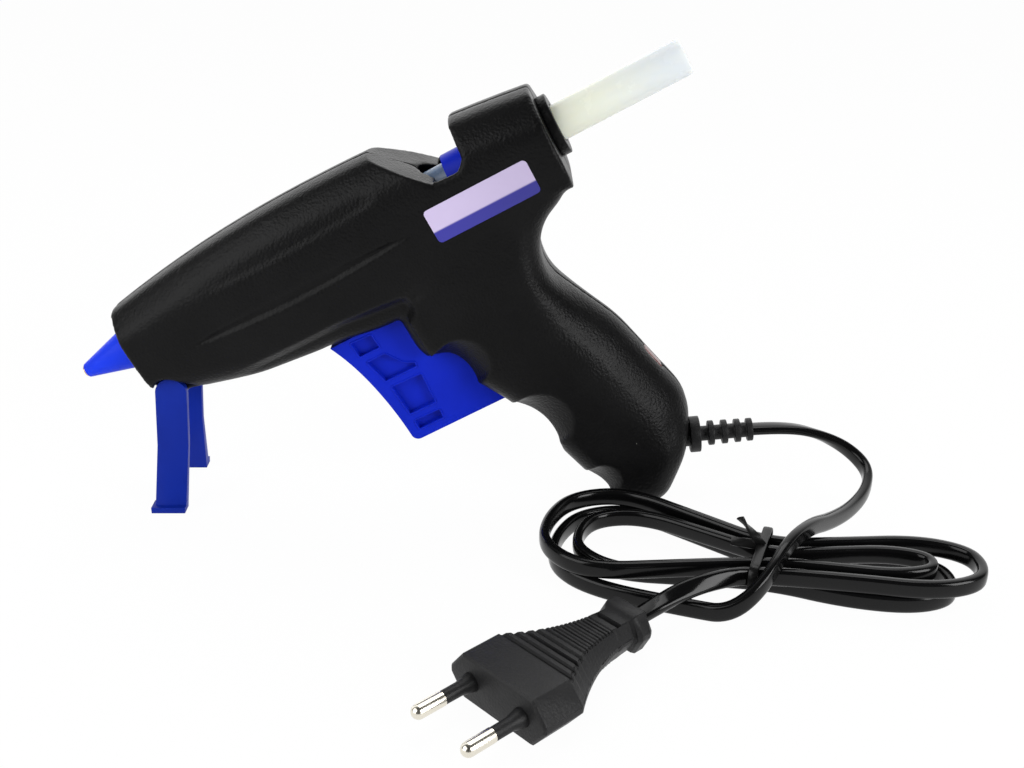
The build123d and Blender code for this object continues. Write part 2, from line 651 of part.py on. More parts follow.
def cord_clamp():
    place = Pos(CLAMP_X, CORD_THIN / 2, sum(CLAMP_SCREW_Z) / 2)
    body = place * Box(6, CLAMP_THICK, 20, align=(Align.CENTER, Align.MIN, Align.CENTER))
    for z in CLAMP_SCREW_Z:
        body -= pin(CLAMP_X, z, 0, 8, 1.3)
    return body


def left_fittings(body):
    """Posts on the left half for the rocker pin, the cord clamp, the cord and the lamp."""
    x, z = xz(ROCKER_S, ROCKER_T)
    posts = pin(x, z, -HALF_WIDTH, -ROCKER_POST_Y, 4.0)
    for z in CLAMP_SCREW_Z:
        posts += pin(CLAMP_X, z, -HALF_WIDTH, CORD_THIN / 2, 2.6)
    seat = Box(4, 15, 5, align=(Align.CENTER, Align.MAX, Align.CENTER))
    posts += Pos(CLAMP_X, -CORD_THIN / 2, INNER_CORD_Z) * seat
    for depth, radius in ((5.6, 2.4), (10.6, 1.2)):
        at = lens_spot(-depth)
        posts += pin(at.X, at.Z, -HALF_WIDTH, -radius, 1.6)
    return posts & body


def lens_spot(height):
    """A place on the middle line of the indicator lens."""
    return lens_plane().origin + lens_plane().z_dir * height


def across_lens(depth, radius, length):
    """A round component that lies under the lens, along its length."""
    frame = Plane(origin=lens_spot(-depth), x_dir=(0, 1, 0), z_dir=lens_plane().x_dir)
    return frame * Cylinder(radius, length)


def housing_halves():
    """The two casing halves, parted on the middle plane."""
    shell, body = casing()
    shell -= casing_openings()
    near = Pos(0, -50, 60) * Box(500, 100, 400)
    left = (shell & near) + left_fittings(body)
    right = shell - near
    rocker_x, rocker_z = xz(ROCKER_S, ROCKER_T)
    right += pin(rocker_x, rocker_z, ROCKER_POST_Y, HALF_WIDTH, 4.0) & body
    for x, z in screw_places():
        left -= pin(x, z, -11.0, 1, SCREW_R)
        right -= pin(x, z, -1, 30, SCREW_R + 0.15)
        right -= pin(x, z, SCREW_HEAD_Y, 30, SCREW_HEAD_R + 0.2)
    for z in CLAMP_SCREW_Z:
        left -= pin(CLAMP_X, z, -8, 8, 1.15)
    rocker_hole = pin(rocker_x, rocker_z, -12.5, 12.5, ROCKER_PIN_R)
    return left - rocker_hole, right - rocker_hole


def label_plate():
    s0, s1, t0, t1 = LABEL
    corners = [xz(s0, t0), xz(s1, t0), xz(s1, t1), xz(s0, t1)]
    outline = make_face(FilletPolyline(*corners, radius=1.6, close=True))
    return sheet(outline, -HALF_WIDTH - 0.25, -HALF_WIDTH)


def build():
    left, right = housing_halves()
    rocker_x, rocker_z = xz(ROCKER_S, ROCKER_T)
    gripper_x, gripper_z = xz(*GRIPPER_PIVOT)
    lead, hank, plug_lead = cord_parts()
    nodes = {
        "left_housing": left,
        "right_housing": right,
        "label_plate": label_plate(),
        "nozzle": nozzle(),
        "nozzle_boot": nozzle_boot(),
        "check_ball": Pos(*spot(14.5)) * Sphere(BALL_R),
        "ball_spring": coil_spring(section_plane(6.5), 1.5, 0.3, 4.6, 1.15),
        "heating_chamber": heating_chamber(),
        "ptc_element": bar(52, 88, -13.7, -11.5, -4, 4),
        "upper_electrode": bar(50, 97, -11.5, -10.9, -3.5, 3.5),
        "lower_electrode": bar(50, 97, -14.3, -13.7, -3.5, 3.5),
        "heater_insulation": bar(47, 95, -14.7, -10.5, -5.3, 5.3) - bar(46, 96, -14.35, -10.85, -4.9, 4.9),
        "thermal_fuse": rod(78, 88, 1.6, t=-18.0),
        "inlet_sleeve": rod(106.2, 113, 8.6) - rod(105, 114, STICK_R + 0.45),
        "glue_stick": rod(STICK_FRONT, STICK_REAR, STICK_R),
        "rear_guide_ring": rear_guide_ring(),
        "feed_carriage": feed_carriage(),
        "stick_gripper": stick_gripper(),
        "gripper_pin": pin(gripper_x, gripper_z, -5.2, 5.2, 0.97),
        "rocker_lever": rocker_lever(),
        "rocker_pin": pin(rocker_x, rocker_z, -12.4, 12.4, ROCKER_PIN_R - 0.02),
        "rocker_spring": rocker_spring(),
        "trigger": trigger(),
        "stand": stand(),
        "indicator_lens": lens_block(4.2, 2.45, -2.6, 0.5),
        "indicator_lamp": across_lens(5.6, 2.4, 9.0),
        "lamp_resistor": across_lens(10.6, 1.2, 6.5),
        "upper_lead": heater_lead(-11.15, 9.8, 0, 72.0, 20.0),
        "lower_lead": heater_lead(-14.05, 11.6, 2.9, 68.5, 17.2),
        "cord_end": cord_end(),
        "cord_clamp": cord_clamp(),
        "strain_relief": strain_relief(),
        "cord_lead": lead,
        "cord_hank": hank,
        "plug_lead": plug_lead,
        "twist_tie": twist_tie(),
        "plug_body": plug_body(),
    }
    for number, (x, z) in enumerate(screw_places(), 1):
        screw = cap_screw(x, z, SCREW_HEAD_Y, -10.5, SCREW_R - 0.05, SCREW_HEAD_R, 1.6)
        nodes[f"housing_screw_{number}"] = screw
    for number, z in enumerate(CLAMP_SCREW_Z, 1):
        screw = cap_screw(CLAMP_X, z, CORD_THIN / 2 + CLAMP_THICK, -7.5, 1.1, 2.1, 1.3)
        nodes[f"clamp_screw_{number}"] = screw
    for number, shape in enumerate(plug_pins(), 1):
        nodes[f"plug_pin_{number}"] = shape
    for number, shape in enumerate(pin_sleeves(), 1):
        nodes[f"pin_sleeve_{number}"] = shape
    return nodes


if __name__ == "__main__":
    os.makedirs("parts", exist_ok=True)
    for name, shape in build().items():
        export_step(shape, f"parts/{name}.step")
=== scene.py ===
"""The finished look of a hot-melt glue gun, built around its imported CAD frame."""
import json
import math

import bmesh
import bpy
from bpy.props import FloatProperty, FloatVectorProperty, IntProperty, PointerProperty
from bpy.types import NodeSocket, Operator, Panel, PropertyGroup
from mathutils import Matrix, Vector
from mathutils.bvhtree import BVHTree


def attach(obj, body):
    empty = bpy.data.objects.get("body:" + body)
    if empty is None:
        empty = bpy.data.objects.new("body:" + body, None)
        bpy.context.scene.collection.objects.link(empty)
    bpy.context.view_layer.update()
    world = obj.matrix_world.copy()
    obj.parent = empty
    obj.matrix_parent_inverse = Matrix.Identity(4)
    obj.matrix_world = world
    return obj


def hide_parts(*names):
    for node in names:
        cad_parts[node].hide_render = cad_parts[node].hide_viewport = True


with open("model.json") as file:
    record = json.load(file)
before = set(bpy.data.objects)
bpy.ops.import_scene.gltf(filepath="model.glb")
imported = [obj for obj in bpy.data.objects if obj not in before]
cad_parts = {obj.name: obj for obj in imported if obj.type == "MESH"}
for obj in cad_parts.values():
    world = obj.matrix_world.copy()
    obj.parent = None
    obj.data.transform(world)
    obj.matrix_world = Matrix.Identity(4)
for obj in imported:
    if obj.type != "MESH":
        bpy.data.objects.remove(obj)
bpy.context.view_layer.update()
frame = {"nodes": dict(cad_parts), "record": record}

bl_info = {
    "name": "Glue gun",
    "version": (1, 0, 0),
    "blender": (4, 5, 0),
    "location": "3D View > Sidebar > Glue gun",
    "description": "Builds the finished pieces of a hot-melt glue gun around its CAD frame",
    "category": "Object",
}

# Lengths below are in millimetres. A place on the gun is s along its axis from the nozzle tip and
# t above that axis, and MM turns either into the frame's metres.
MM = 0.001
WELD = 0.001 * MM
FLAT_TURN = math.radians(0.3)
UP = Vector((0.0, 0.0, 1.0))
AXIS_TILT = math.radians(28.0)
TIP_X = -97.9
TIP_Z = 42.6
AXIS = Vector((math.cos(AXIS_TILT), 0.0, math.sin(AXIS_TILT)))
RISE = Vector((-math.sin(AXIS_TILT), 0.0, math.cos(AXIS_TILT)))

# The CAD barrel, and the shares of a section between which its inside turns into its skin
BARREL_FRONT = 20.5
BARREL_REAR = 169.2
TAPER_END = 85.0
HALF_WIDTH = 16.5
NOSE_HALF_WIDTH = 12.8
FLAT_HALF_WIDTH = 9.0
CORE_HALF = 7.0
TOP_AT_FRONT = 12.6
TOP_AT_MIDDLE = 17.2
TOP_AT_REAR = 11.3
BARREL_POWER = 4
NOTCH_SLOPE = ((116.6, 19.5), (133.2, 3.9))
SKIN = (0.55, 0.9)

# Relief on the barrel's flanks. A run gives where a form starts, is full, starts to fade and ends.
CROWN_MIDDLE = -4.0
CROWN_REACH = 19.0
UPPER_RUN = (44.0, 66.0, 111.0, 117.5)
UPPER_CREASE = (78.0, 5.9)
UPPER_BOW = 0.0009
UPPER_EDGE = (-1.1, 1.2)
UPPER_TOP = 14.0
LOWER_MIDDLE = (80.4, -5.3)
LOWER_REACH = 41.4
LOWER_HALF = 3.0
LOWER_POINT = 1.7
LOWER_SECTION = (-0.05, 0.36, 0.36, 1.0)
NOSE = (104.6, -26.0, 4.8)
NOSE_START = (44.0, 60.0)
NOSE_RISE = 0.11
NOSE_CEILING = -23.9
NOSE_WALL = 1.7
SKIRT_DROP = 2.6
SKIRT_RUN = (76.0, 99.0, 104.0, 111.0)
SKIRT_DEPTH = (21.0, 26.0)

# Handle: its middle line and section in x and z, its finger scoops, and the corner of the block above it
HANDLE_START = Vector((34.0, 76.0))
HANDLE_END = Vector((86.0, 12.0))
HANDLE_LENGTH = (HANDLE_END - HANDLE_START).length
HANDLE_RUN = (HANDLE_END - HANDLE_START).normalized()
HANDLE_BACK = Vector((-HANDLE_RUN.y, HANDLE_RUN.x))
HANDLE_HALF_WIDTH = 16.3
HANDLE_ROUND = 8.0
HANDLE_REACH = 23.0
BACK_RUN = (0.0, 28.0, 72.0, 90.0)
REACH_STEP = 2.0
REACH_COUNT = 48
FINGER_SCOOPS = [(25.0, 51.4, 9.0), (49.6, 31.8, 10.4), (70.4, 11.2, 5.8)]
SCOOP_RUN = Vector((-0.64, -0.77))
SCOOP_EDGE = 1.2
SCOOP_BEND = 0.02
SCOOP_LIMIT = 9.2
HEEL_SCREW = Vector((70.5, 13.5))
SCREW_LAND = (4.5, 9.0)
BLOCK_CORNER = Vector((58.5, 106.7))
CORNER_REACH = 11.0
LENS_SINK = Vector((-0.54, 0.0, -0.44))

# Rating label: its ends along the axis, and its edges above it
LABEL = (126.0, 160.0, -12.0, -1.2)
LABEL_CORNER = 1.3
LABEL_BAND = -8.2
LABEL_BLEND = 0.35
LABEL_LIFT = 0.14
LABEL_THICKNESS = 0.12
RAY_START = -50.0

# Trigger pockets
TRIGGER_HALF = 6.4
POCKET_FLOOR = 4.2
POCKET_SLACK = 0.05
RIM_R = 0.3

# Glue stick and nozzle boot
STICK_R = 5.6
STICK_FRONT = 62.0
STICK_REAR = 214.0
# Where along the axis the stick's painted shade fades out
STICK_SHADE_FADE = (140.0, 170.0)
STICK_COLD = (176.0, STICK_REAR)
BOOT_OUTLINE = [(0.5, 2.0), (0.5, 2.35), (20.4, 7.6), (23.2, 7.6), (23.2, 8.2), (25.0, 8.2), (25.0, 6.15),
                (18.5, 6.12), (0.6, 2.05)]

# Strain relief: its flange, and the place and radius of each rib
RELIEF_PLACE = Vector((98.6, 0.0, 19.5))
RELIEF_RISE = math.radians(5.6)
RELIEF_FLANGE = [(-9.0, 0.0), (-9.0, 5.2), (-7.0, 5.2), (-7.0, 3.9), (0.6, 3.9), (0.6, 6.0), (4.0, 6.0),
                 (4.0, 2.5)]
RELIEF_RIBS = [(6.8, 4.1), (11.2, 4.0), (15.5, 3.9), (19.5, 3.8)]
RELIEF_RIB = 1.9
RELIEF_NECK = 2.5
RELIEF_END = 21.4

# Cord, with the route's points. A roll is a share of the quarter turn that stands the flat cord on edge.
CORD_EXIT = (120.0, 0.0, 21.6)
LEAD_ROUTE = [CORD_EXIT, (131, -0.4, 22.6), (142, -1.6, 20.6), (151.5, -4.4, 16.4), (156.8, -11.0, 12.0),
              (154.0, -20.5, 9.4), (146.5, -31.0, 8.6), (137.0, -43.0, 11.4), (127.8, -54.5, 16.4),
              (118.6, -66.5, 17.4), (110.0, -78.4, 10.6), (100.5, -81.6, 4.0), (91.0, -77.2, 3.0)]
PLUG_ROUTE = [(108.8, -69.4, 9.4), (98.0, -74.6, 11.2), (87.4, -78.4, 9.6)]
LEAD_ROLLS = [1.0, 1.0, 0.7, 0.3]
PLUG_ROLLS = [0.0, 0.25, 0.6, 1.0, 1.0]
QUARTER_TURN = math.radians(90.0)
LOW_LAYER = 3.6
HIGH_LAYER = 9.2
LEFT_HEADING = 160.0
RIGHT_HEADING = -4.0
OUTER_WAIST = 7.9
INNER_WAIST = 2.4

# Twist tie: its ring round the hank, and the lean, length and turns of its two ends
TIE_PLACE = (116.0, -62.0)
TIE_SHIFT = 3.5
TIE_HALF = 13.4
TIE_LOW = 1.3
TIE_HIGH = 13.2
TIE_STRIP = (2.8, 1.0)
TAIL_STRIP = (2.9, 1.1)
TIE_TAILS = [((-0.62, 0.1, 0.78), 11.0, 0.8), ((-0.97, 0.2, 0.05), 9.0, 0.4)]
TAIL_STEPS = 6

# Plug. A ring is its distance from the pin face, half its width, half its thickness and its slopes' reach,
# a row of ribs is their number, the first one's place, their pitch and their height, and a taper is where it
# starts and ends and its size there.
PLUG_PLACE = Vector((36.3, -122.2, 6.95))
PLUG_HEADING = math.radians(42.7)
PLUG_LENGTH = 50.0
PLUG_LEAD = 8.5
PLUG_HEAD = [(0.0, 17.0, 6.3, 4.7), (0.6, 17.6, 6.85, 4.8), (12.6, 17.6, 6.85, 4.8)]
PLUG_TAIL = [(38.9, 6.7, 4.9, 2.2), (40.9, 6.5, 4.8, 2.2), (43.6, 6.4, 4.7, 2.2), (44.3, 7.3, 5.4, 2.4),
             (45.4, 8.1, 6.0, 2.8), (48.4, 8.1, 6.0, 2.8), (49.5, 7.4, 5.4, 2.6), (50.0, 6.2, 4.4, 2.4)]
PLUG_RIBS = [(4, 13.0, 2.6, 1.0), (11, 23.6, 1.3, 0.55)]
RIB_SECTION = [(0.0, 1.0), (0.34, 1.0), (0.46, 0.0), (0.92, 0.0)]
PLUG_WIDTH = (13.0, 42.0, 17.6, 6.4)
PLUG_WAIST = 1.9
PLUG_THICKNESS = (10.0, 46.0, 6.85, 4.75)
PLUG_SLOPE = (12.0, 40.0, 4.8, 2.2)
PLUG_BLUNT = 0.12
SLOT_PLACE = 39.9
SLOT_HEIGHT = 4.8
SLOT_RIM = 0.3
SLOT_DEPTH = 1.4
PIN_SPACING = 18.6
PIN_R = 2.0
PIN_END = -19.0
PIN_ROOT = -9.6
SLEEVE_OUTLINE = [(-10.0, 1.2), (-10.0, 1.85), (-4.0, 1.9), (-1.2, 2.5), (0.4, 2.8), (0.4, 1.2)]

# Stage, in metres: the floor, the camera, and each lamp's place, width and height
FLOOR_HALF = 2.0
FLOOR_GLOW = 0.97
CAMERA_PLACE = (0.0403, -0.373, 0.204)
CAMERA_PITCH = math.radians(66.0)
SENSOR_WIDTH = 36.0
LAMP_TARGET = Vector((0.02, 0.0, 0.07))
LAMPS = {"key": ((-0.75, -0.5, 0.5), 0.9, 0.9), "side": ((0.75, -0.58, 0.38), 0.42, 0.6),
         "top": ((0.16, 0.22, 0.75), 0.5, 0.3)}
WORLD_DEPTH = (0.1, 0.8)
WORLD_LIGHT = (0.06, 1.7)
WHITE = (1.0, 1.0, 1.0, 1.0)

# Finishes. A colour is a setting's name or fixed, and grain is its scale, strength and depth.
PATCH_SCALE = 45.0
GLOSS_SCALE = 103.5
DUST_SCALE = 150.0
DUST_COLOUR = (0.22, 0.22, 0.2)
STICK_SURFACE = dict(roughness=(0.22, 0.3), gloss_scale=90.0, grain=(150.0, 0.02, 0.1))
LABEL_SURFACE = dict(roughness=(0.3, 0.4), gloss_scale=120.0, grain=(700.0, 0.06, 0.05))
FINISHES = {
    "Casing black": dict(colour="casing", roughness=(0.30, 0.38), grain=(1200.0, 0.8, 0.18), dust=0.03,
                         Specular_IOR_Level=0.1),
    "Trigger blue": dict(colour="trigger", roughness=(0.30, 0.42), grain=(1100.0, 0.12, 0.06), spread=0.08,
                         Specular_IOR_Level=0.08),
    # Painted shade: the stand's blue is the trigger's blue darkened
    "Stand blue": dict(colour="stand", roughness=(0.34, 0.46), grain=(900.0, 0.16, 0.06), spread=0.1,
                       Specular_IOR_Level=0.1),
    # The boot's lighter blue is partly its own translucent silicone and partly painted light glowing through
    # it
    "Boot blue": dict(colour="boot", roughness=(0.38, 0.5), grain=(900.0, 0.12, 0.06), spread=0.06,
                      Specular_IOR_Level=0.12, Subsurface_Weight=0.12, Subsurface_Radius=(0.2, 0.3, 1.0),
                      Subsurface_Scale=0.002),
    "Cord vinyl": dict(colour="cord", roughness=(0.12, 0.19), grain=(260.0, 0.1, 0.12), spread=0.15,
                       Specular_IOR_Level=0.22),
    "Plug vinyl": dict(colour="plug", roughness=(0.40, 0.52), grain=(1300.0, 0.5, 0.14), spread=0.2,
                       dust=0.04, Specular_IOR_Level=0.2),
    "Tie vinyl": dict(colour=(0.007, 0.007, 0.007), roughness=(0.26, 0.4), grain=(500.0, 0.2, 0.12),
                      spread=0.2, Specular_IOR_Level=0.2),
    "Indicator lens": dict(colour=(0.10, 0.014, 0.012), roughness=(0.14, 0.22), grain=(300.0, 0.05, 0.1),
                           spread=0.1, Specular_IOR_Level=0.5),
    "Nickel plate": dict(colour=(0.80, 0.76, 0.66), roughness=(0.2, 0.26), grain=(700.0, 0.004, 0.02),
                         spread=0.04, Metallic=1.0),
    "Zinc steel": dict(colour=(0.50, 0.50, 0.52), roughness=(0.28, 0.42), grain=(900.0, 0.15, 0.05),
                       Metallic=1.0),
    "Turned brass": dict(colour=(0.66, 0.46, 0.18), roughness=(0.22, 0.34), grain=(800.0, 0.1, 0.05),
                         Metallic=1.0),
    "Cast aluminium": dict(colour=(0.58, 0.58, 0.60), roughness=(0.45, 0.6), grain=(500.0, 0.3, 0.15),
                           Metallic=1.0),
    "Fired ceramic": dict(colour=(0.74, 0.70, 0.60), roughness=(0.5, 0.66), grain=(700.0, 0.2, 0.08),
                          spread=0.08),
    "Amber film": dict(colour=(0.42, 0.18, 0.02), roughness=(0.18, 0.3), grain=(300.0, 0.1, 0.1)),
    "Pale silicone": dict(colour=(0.68, 0.66, 0.60), roughness=(0.5, 0.62), grain=(500.0, 0.15, 0.1),
                          spread=0.06),
    "Lamp glass": dict(colour=(0.86, 0.72, 0.62), roughness=(0.06, 0.12), grain=(200.0, 0.03, 0.05),
                       spread=0.04, Transmission_Weight=0.7),
    "Wire sleeve": dict(colour=(0.70, 0.68, 0.60), roughness=(0.55, 0.7), grain=(1600.0, 0.5, 0.12),
                        spread=0.1),
}
SLOT_FINISHES = {"black_plastic": "Casing black", "brass": "Turned brass", "steel": "Zinc steel",
                 "cast_aluminium": "Cast aluminium", "ceramic": "Fired ceramic", "amber_film": "Amber film",
                 "nickel": "Nickel plate", "silicone": "Pale silicone", "lamp_glass": "Lamp glass",
                 "wire_cover": "Wire sleeve", "cord_cover": "Cord vinyl"}


# Settings

def length_setting(name, description, millimetres, **limits):
    return FloatProperty(name=name, description=description, default=millimetres * MM, unit="LENGTH",
                         subtype="DISTANCE", precision=5, **limits)


def colour_setting(name, description, colour):
    return FloatVectorProperty(name=name, description=description, default=colour, subtype="COLOR")


def power_setting(name, description, watts):
    return FloatProperty(name=name, description=description, default=watts, unit="POWER")


class CasingShape(PropertyGroup):
    """Sizes of the moulded casing."""
    voxel: length_setting("Voxel", "Grain of the casing mesh", 0.7, min=0.3 * MM)
    softening: IntProperty(name="Softening", description="Passes that round the moulded edges", default=5,
                           min=0)
    arch_rise: length_setting("Arch rise", "How far the middle of the barrel's top stands up", 2.8)
    arch_fullness: FloatProperty(name="Arch fullness", description="2 is a plain oval top, more is squarer",
                                 default=2.5, min=2.0, max=4.0)
    upper_depth: length_setting("Upper flute", "Depth of the broad hollow on the barrel", 0.5)
    lower_depth: length_setting("Lower flute", "Depth of the narrow hollow on the barrel", 1.2)
    nose_depth: length_setting("Trigger hollow", "Depth of the hollow over the trigger", 2.6)
    scoop_slope: FloatProperty(name="Scoop slope", description="Steepness of the finger hollows on the flank",
                               default=0.55, min=0.0, max=2.0)
    barrel_crown: length_setting("Barrel crown", "Swell of the barrel's flank", 0.8)
    handle_crown: length_setting("Handle crown", "Swell of the handle's flank", 1.2)
    back_fullness: FloatProperty(name="Back fullness", description="2 is a plain oval back of the handle",
                                 default=2.15, min=2.0, max=4.0)


class CordShape(PropertyGroup):
    """Sizes of the flat cord."""
    width: length_setting("Width", "Wide side of the cord", 5.4)
    thickness: length_setting("Thickness", "Thin side of the cord", 3.2)
    steps: IntProperty(name="Steps", description="Rings between two points of the route", default=10, min=3)


class Colours(PropertyGroup):
    """Base colours of the main finishes; the stand's and the stick's hold painted shade, and the boot's
    partly painted light.
    """
    casing: colour_setting("Casing", "Black moulded casing", (0.0045, 0.0045, 0.0047))
    trigger: colour_setting("Trigger", "Blue trigger and carriage", (0.004, 0.019, 0.485))
    # Painted shade: the trigger's blue darkened for the stand
    stand: colour_setting("Stand", "Blue of the stand, darkened with painted shade", (0.004, 0.020, 0.27))
    # Partly painted light: the boot's blue is lightened as if lit through from the floor
    boot: colour_setting("Boot", "Blue nozzle boot, lightened partly with painted light", (0.004, 0.038, 0.77))
    stick: colour_setting("Stick", "Milky glue", (0.74, 0.76, 0.66))
    # Painted shade for the stick where it shows in the notch
    stick_painted_shade: colour_setting("Stick painted shade", "Painted shade on the stick where it shows in the notch", (0.13, 0.19, 0.29))
    stick_end: colour_setting("Stick end", "Cooler, greyer tone towards the cold end", (0.66, 0.70, 0.73))
    cord: colour_setting("Cord", "Black vinyl", (0.003, 0.003, 0.0032))
    plug: colour_setting("Plug", "Black moulded plug", (0.013, 0.013, 0.0135))
    label_upper: colour_setting("Label field", "Upper field of the label", (0.56, 0.48, 0.70))
    label_lower: colour_setting("Label band", "Lower band of the label", (0.024, 0.022, 0.22))


class StageLook(PropertyGroup):
    """Lamps and camera."""
    key_power: power_setting("Key", "Power of the softbox on the left", 8.3)
    side_power: power_setting("Side", "Power of the softbox on the right", 6.6)
    top_power: power_setting("Top", "Power of the softbox overhead", 1.5)
    lens: FloatProperty(name="Lens", description="Focal length in millimetres", default=43.945,
                        subtype="DISTANCE_CAMERA")


class GlueGunSettings(PropertyGroup):
    """All the values that a user may change."""
    casing: PointerProperty(type=CasingShape)
    cord: PointerProperty(type=CordShape)
    colours: PointerProperty(type=Colours)
    stage: PointerProperty(type=StageLook)


# Places and measures

def gun_point(s, t=0.0, y=0.0):
    """A place on the gun, in the frame's metres."""
    start = Vector((TIP_X, y, TIP_Z))
    return (start + AXIS * s + RISE * t) * MM


def gun_place(point):
    """The s and t, in millimetres, of a point in the frame's metres."""
    offset = point / MM - Vector((TIP_X, 0.0, TIP_Z))
    return offset.dot(AXIS), offset.dot(RISE)


def portion(low, high, value):
    """How far a value is from low to high, held between 0 and 1."""
    return min(max((value - low) / (high - low), 0.0), 1.0)


def ease(low, high, value):
    """0 below low, 1 above high, and a smooth rise between them."""
    share = portion(low, high, value)
    return share * share * (3.0 - 2.0 * share)


def swell(run, value):
    """A smooth rise at the start of a run and a smooth fall at its end."""
    start, full, fade, end = run
    return ease(start, full, value) * (1.0 - ease(fade, end, value))


def power_sum(one, two, power):
    """Two sizes taken together: with power 2 as a circle does, with more as a squarer form does."""
    return (one ** power + two ** power) ** (1.0 / power)


# Meshes and pieces

def welded(node):
    """A copy of a CAD node with its triangles joined."""
    bm = bmesh.new()
    bm.from_mesh(frame["nodes"][node].data)
    bmesh.ops.remove_doubles(bm, verts=bm.verts[:], dist=WELD)
    return bm


def cad_copy(node):
    """A welded copy of a CAD node, with flat areas joined into single faces."""
    bm = welded(node)
    bmesh.ops.dissolve_limit(bm, angle_limit=FLAT_TURN, verts=bm.verts[:], edges=bm.edges[:])
    return bm


def close_up(bm):
    """Joins the seam of a spun or drawn-out form, and turns its faces outwards."""
    bmesh.ops.remove_doubles(bm, verts=bm.verts[:], dist=WELD)
    bmesh.ops.recalc_face_normals(bm, faces=bm.faces[:])
    return bm


def ease_edges(bm, width, least_turn=25.0, segments=3):
    """Rounds every edge that turns sharply, over a width in millimetres."""
    turn = math.radians(least_turn)
    edges = [e for e in bm.edges if e.is_manifold and e.calc_face_angle() > turn]
    bmesh.ops.bevel(bm, geom=edges, offset=width * MM, offset_type="OFFSET", affect="EDGES",
                    segments=segments, profile=0.5, material=-1, clamp_overlap=True)


def turned(outline, origin, axis, across, steps=64):
    """Spins a closed outline of (distance, radius) points, in millimetres, about an axis."""
    bm = bmesh.new()
    verts = [bm.verts.new(origin + (axis * along + across * radius) * MM) for along, radius in outline]
    for one, two in zip(verts, verts[1:] + verts[:1]):
        bm.edges.new((one, two))
    bmesh.ops.spin(bm, geom=bm.verts[:] + bm.edges[:], cent=origin, axis=axis, angle=math.tau,
                   steps=steps, use_merge=True)
    return close_up(bm)


def lofted(sections):
    """A closed body through matching rings of points, drawn out section by section."""
    bm = bmesh.new()
    ring = [bm.verts.new(point) for point in sections[0]]
    cap = bm.faces.new(ring)
    for section in sections[1:]:
        made = bmesh.ops.extrude_face_region(bm, geom=[cap])["geom"]
        cap = next(item for item in made if isinstance(item, bmesh.types.BMFace))
        new = [item for item in made if isinstance(item, bmesh.types.BMVert)]
        ring = [min(new, key=lambda vert: (vert.co - old.co).length) for old in ring]
        for vert, point in zip(ring, section):
            vert.co = point
    bmesh.ops.recalc_face_normals(bm, faces=bm.faces[:])
    return bm


def mesh_of(bm, name):
    mesh = bpy.data.meshes.new(name)
    bm.to_mesh(mesh)
    bm.free()
    return mesh


def new_object(name, data):
    made = bpy.data.objects.new(name, data)
    bpy.context.scene.collection.objects.link(made)
    return made


def add_piece(name, bm, look, body, slot, *nodes, crease=35.0):
    """Puts a finished mesh in the scene, on its body and in place of its CAD nodes."""
    mesh = mesh_of(bm, name)
    mesh.shade_smooth()
    mesh.set_sharp_from_angle(angle=math.radians(crease))
    mesh.materials.clear()
    mesh.materials.append(finish(look))
    piece = new_object(name, mesh)
    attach(piece, body)
    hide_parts(*nodes)
    return piece


def evaluated_mesh(data, voxel=None):
    """The mesh that a curve comes to, or a mesh remeshed in even voxels."""
    holder = new_object("holder", data)
    if voxel:
        remesh = holder.modifiers.new("remesh", "REMESH")
        remesh.mode = "VOXEL"
        remesh.voxel_size = voxel
    graph = bpy.context.evaluated_depsgraph_get()
    mesh = bpy.data.meshes.new_from_object(holder.evaluated_get(graph), depsgraph=graph)
    bpy.data.objects.remove(holder)
    return mesh


def nurbs_curve(name, points, rolls=None, cyclic=False, steps=10, twist="Z_UP"):
    """A smooth curve with the points as its control points."""
    curve = bpy.data.curves.new(name, "CURVE")
    curve.dimensions = "3D"
    curve.twist_mode = twist
    spline = curve.splines.new("NURBS")
    spline.points.add(len(points) - 1)
    for place, point, roll in zip(spline.points, points, rolls or [0.0] * len(points)):
        place.co = (*point, 1.0)
        place.tilt = roll
    spline.order_u = 3
    spline.use_cyclic_u = cyclic
    spline.use_endpoint_u = not cyclic
    spline.resolution_u = steps
    return curve


def flat_profile(name, wide, thin, count=24, squareness=3.2):
    """A closed flat oval, as an object that a curve can be drawn out along."""
    curve = bpy.data.curves.new(name, "CURVE")
    spline = curve.splines.new("POLY")
    spline.points.add(count - 1)
    for number, place in enumerate(spline.points):
        angle = math.tau * number / count
        across, up = math.cos(angle), math.sin(angle)
        place.co = (math.copysign(abs(across) ** (2 / squareness), across) * thin / 2,
                    math.copysign(abs(up) ** (2 / squareness), up) * wide / 2, 0.0, 1.0)
    spline.use_cyclic_u = True
    return new_object(name, curve)


def drawn_out(curve, profile):
    """A profile drawn out along a curve, closed at its ends."""
    curve.bevel_mode = "OBJECT"
    curve.bevel_object = profile
    curve.use_fill_caps = True
    bm = bmesh.new()
    bm.from_mesh(evaluated_mesh(curve))
    bpy.data.objects.remove(profile)
    return close_up(bm)


# Shader groups and finishes

def feed(tree, socket, value):
    """Links a socket to another one, or sets its plain value."""
    if isinstance(value, NodeSocket):
        tree.links.new(value, socket)
    else:
        socket.default_value = value


def add_node(tree, kind, inputs=None, **settings):
    """A shader node with its settings, and with what its inputs are fed."""
    node = tree.nodes.new("ShaderNode" + kind)
    for key, value in settings.items():
        setattr(node, key, value)
    for label, value in (inputs or {}).items():
        feed(tree, node.inputs[label], value)
    return node


def math_node(tree, operation, first, second):
    return add_node(tree, "Math", {0: first, 1: second}, operation=operation).outputs[0]


def object_place(tree):
    return add_node(tree, "TexCoord").outputs["Object"]


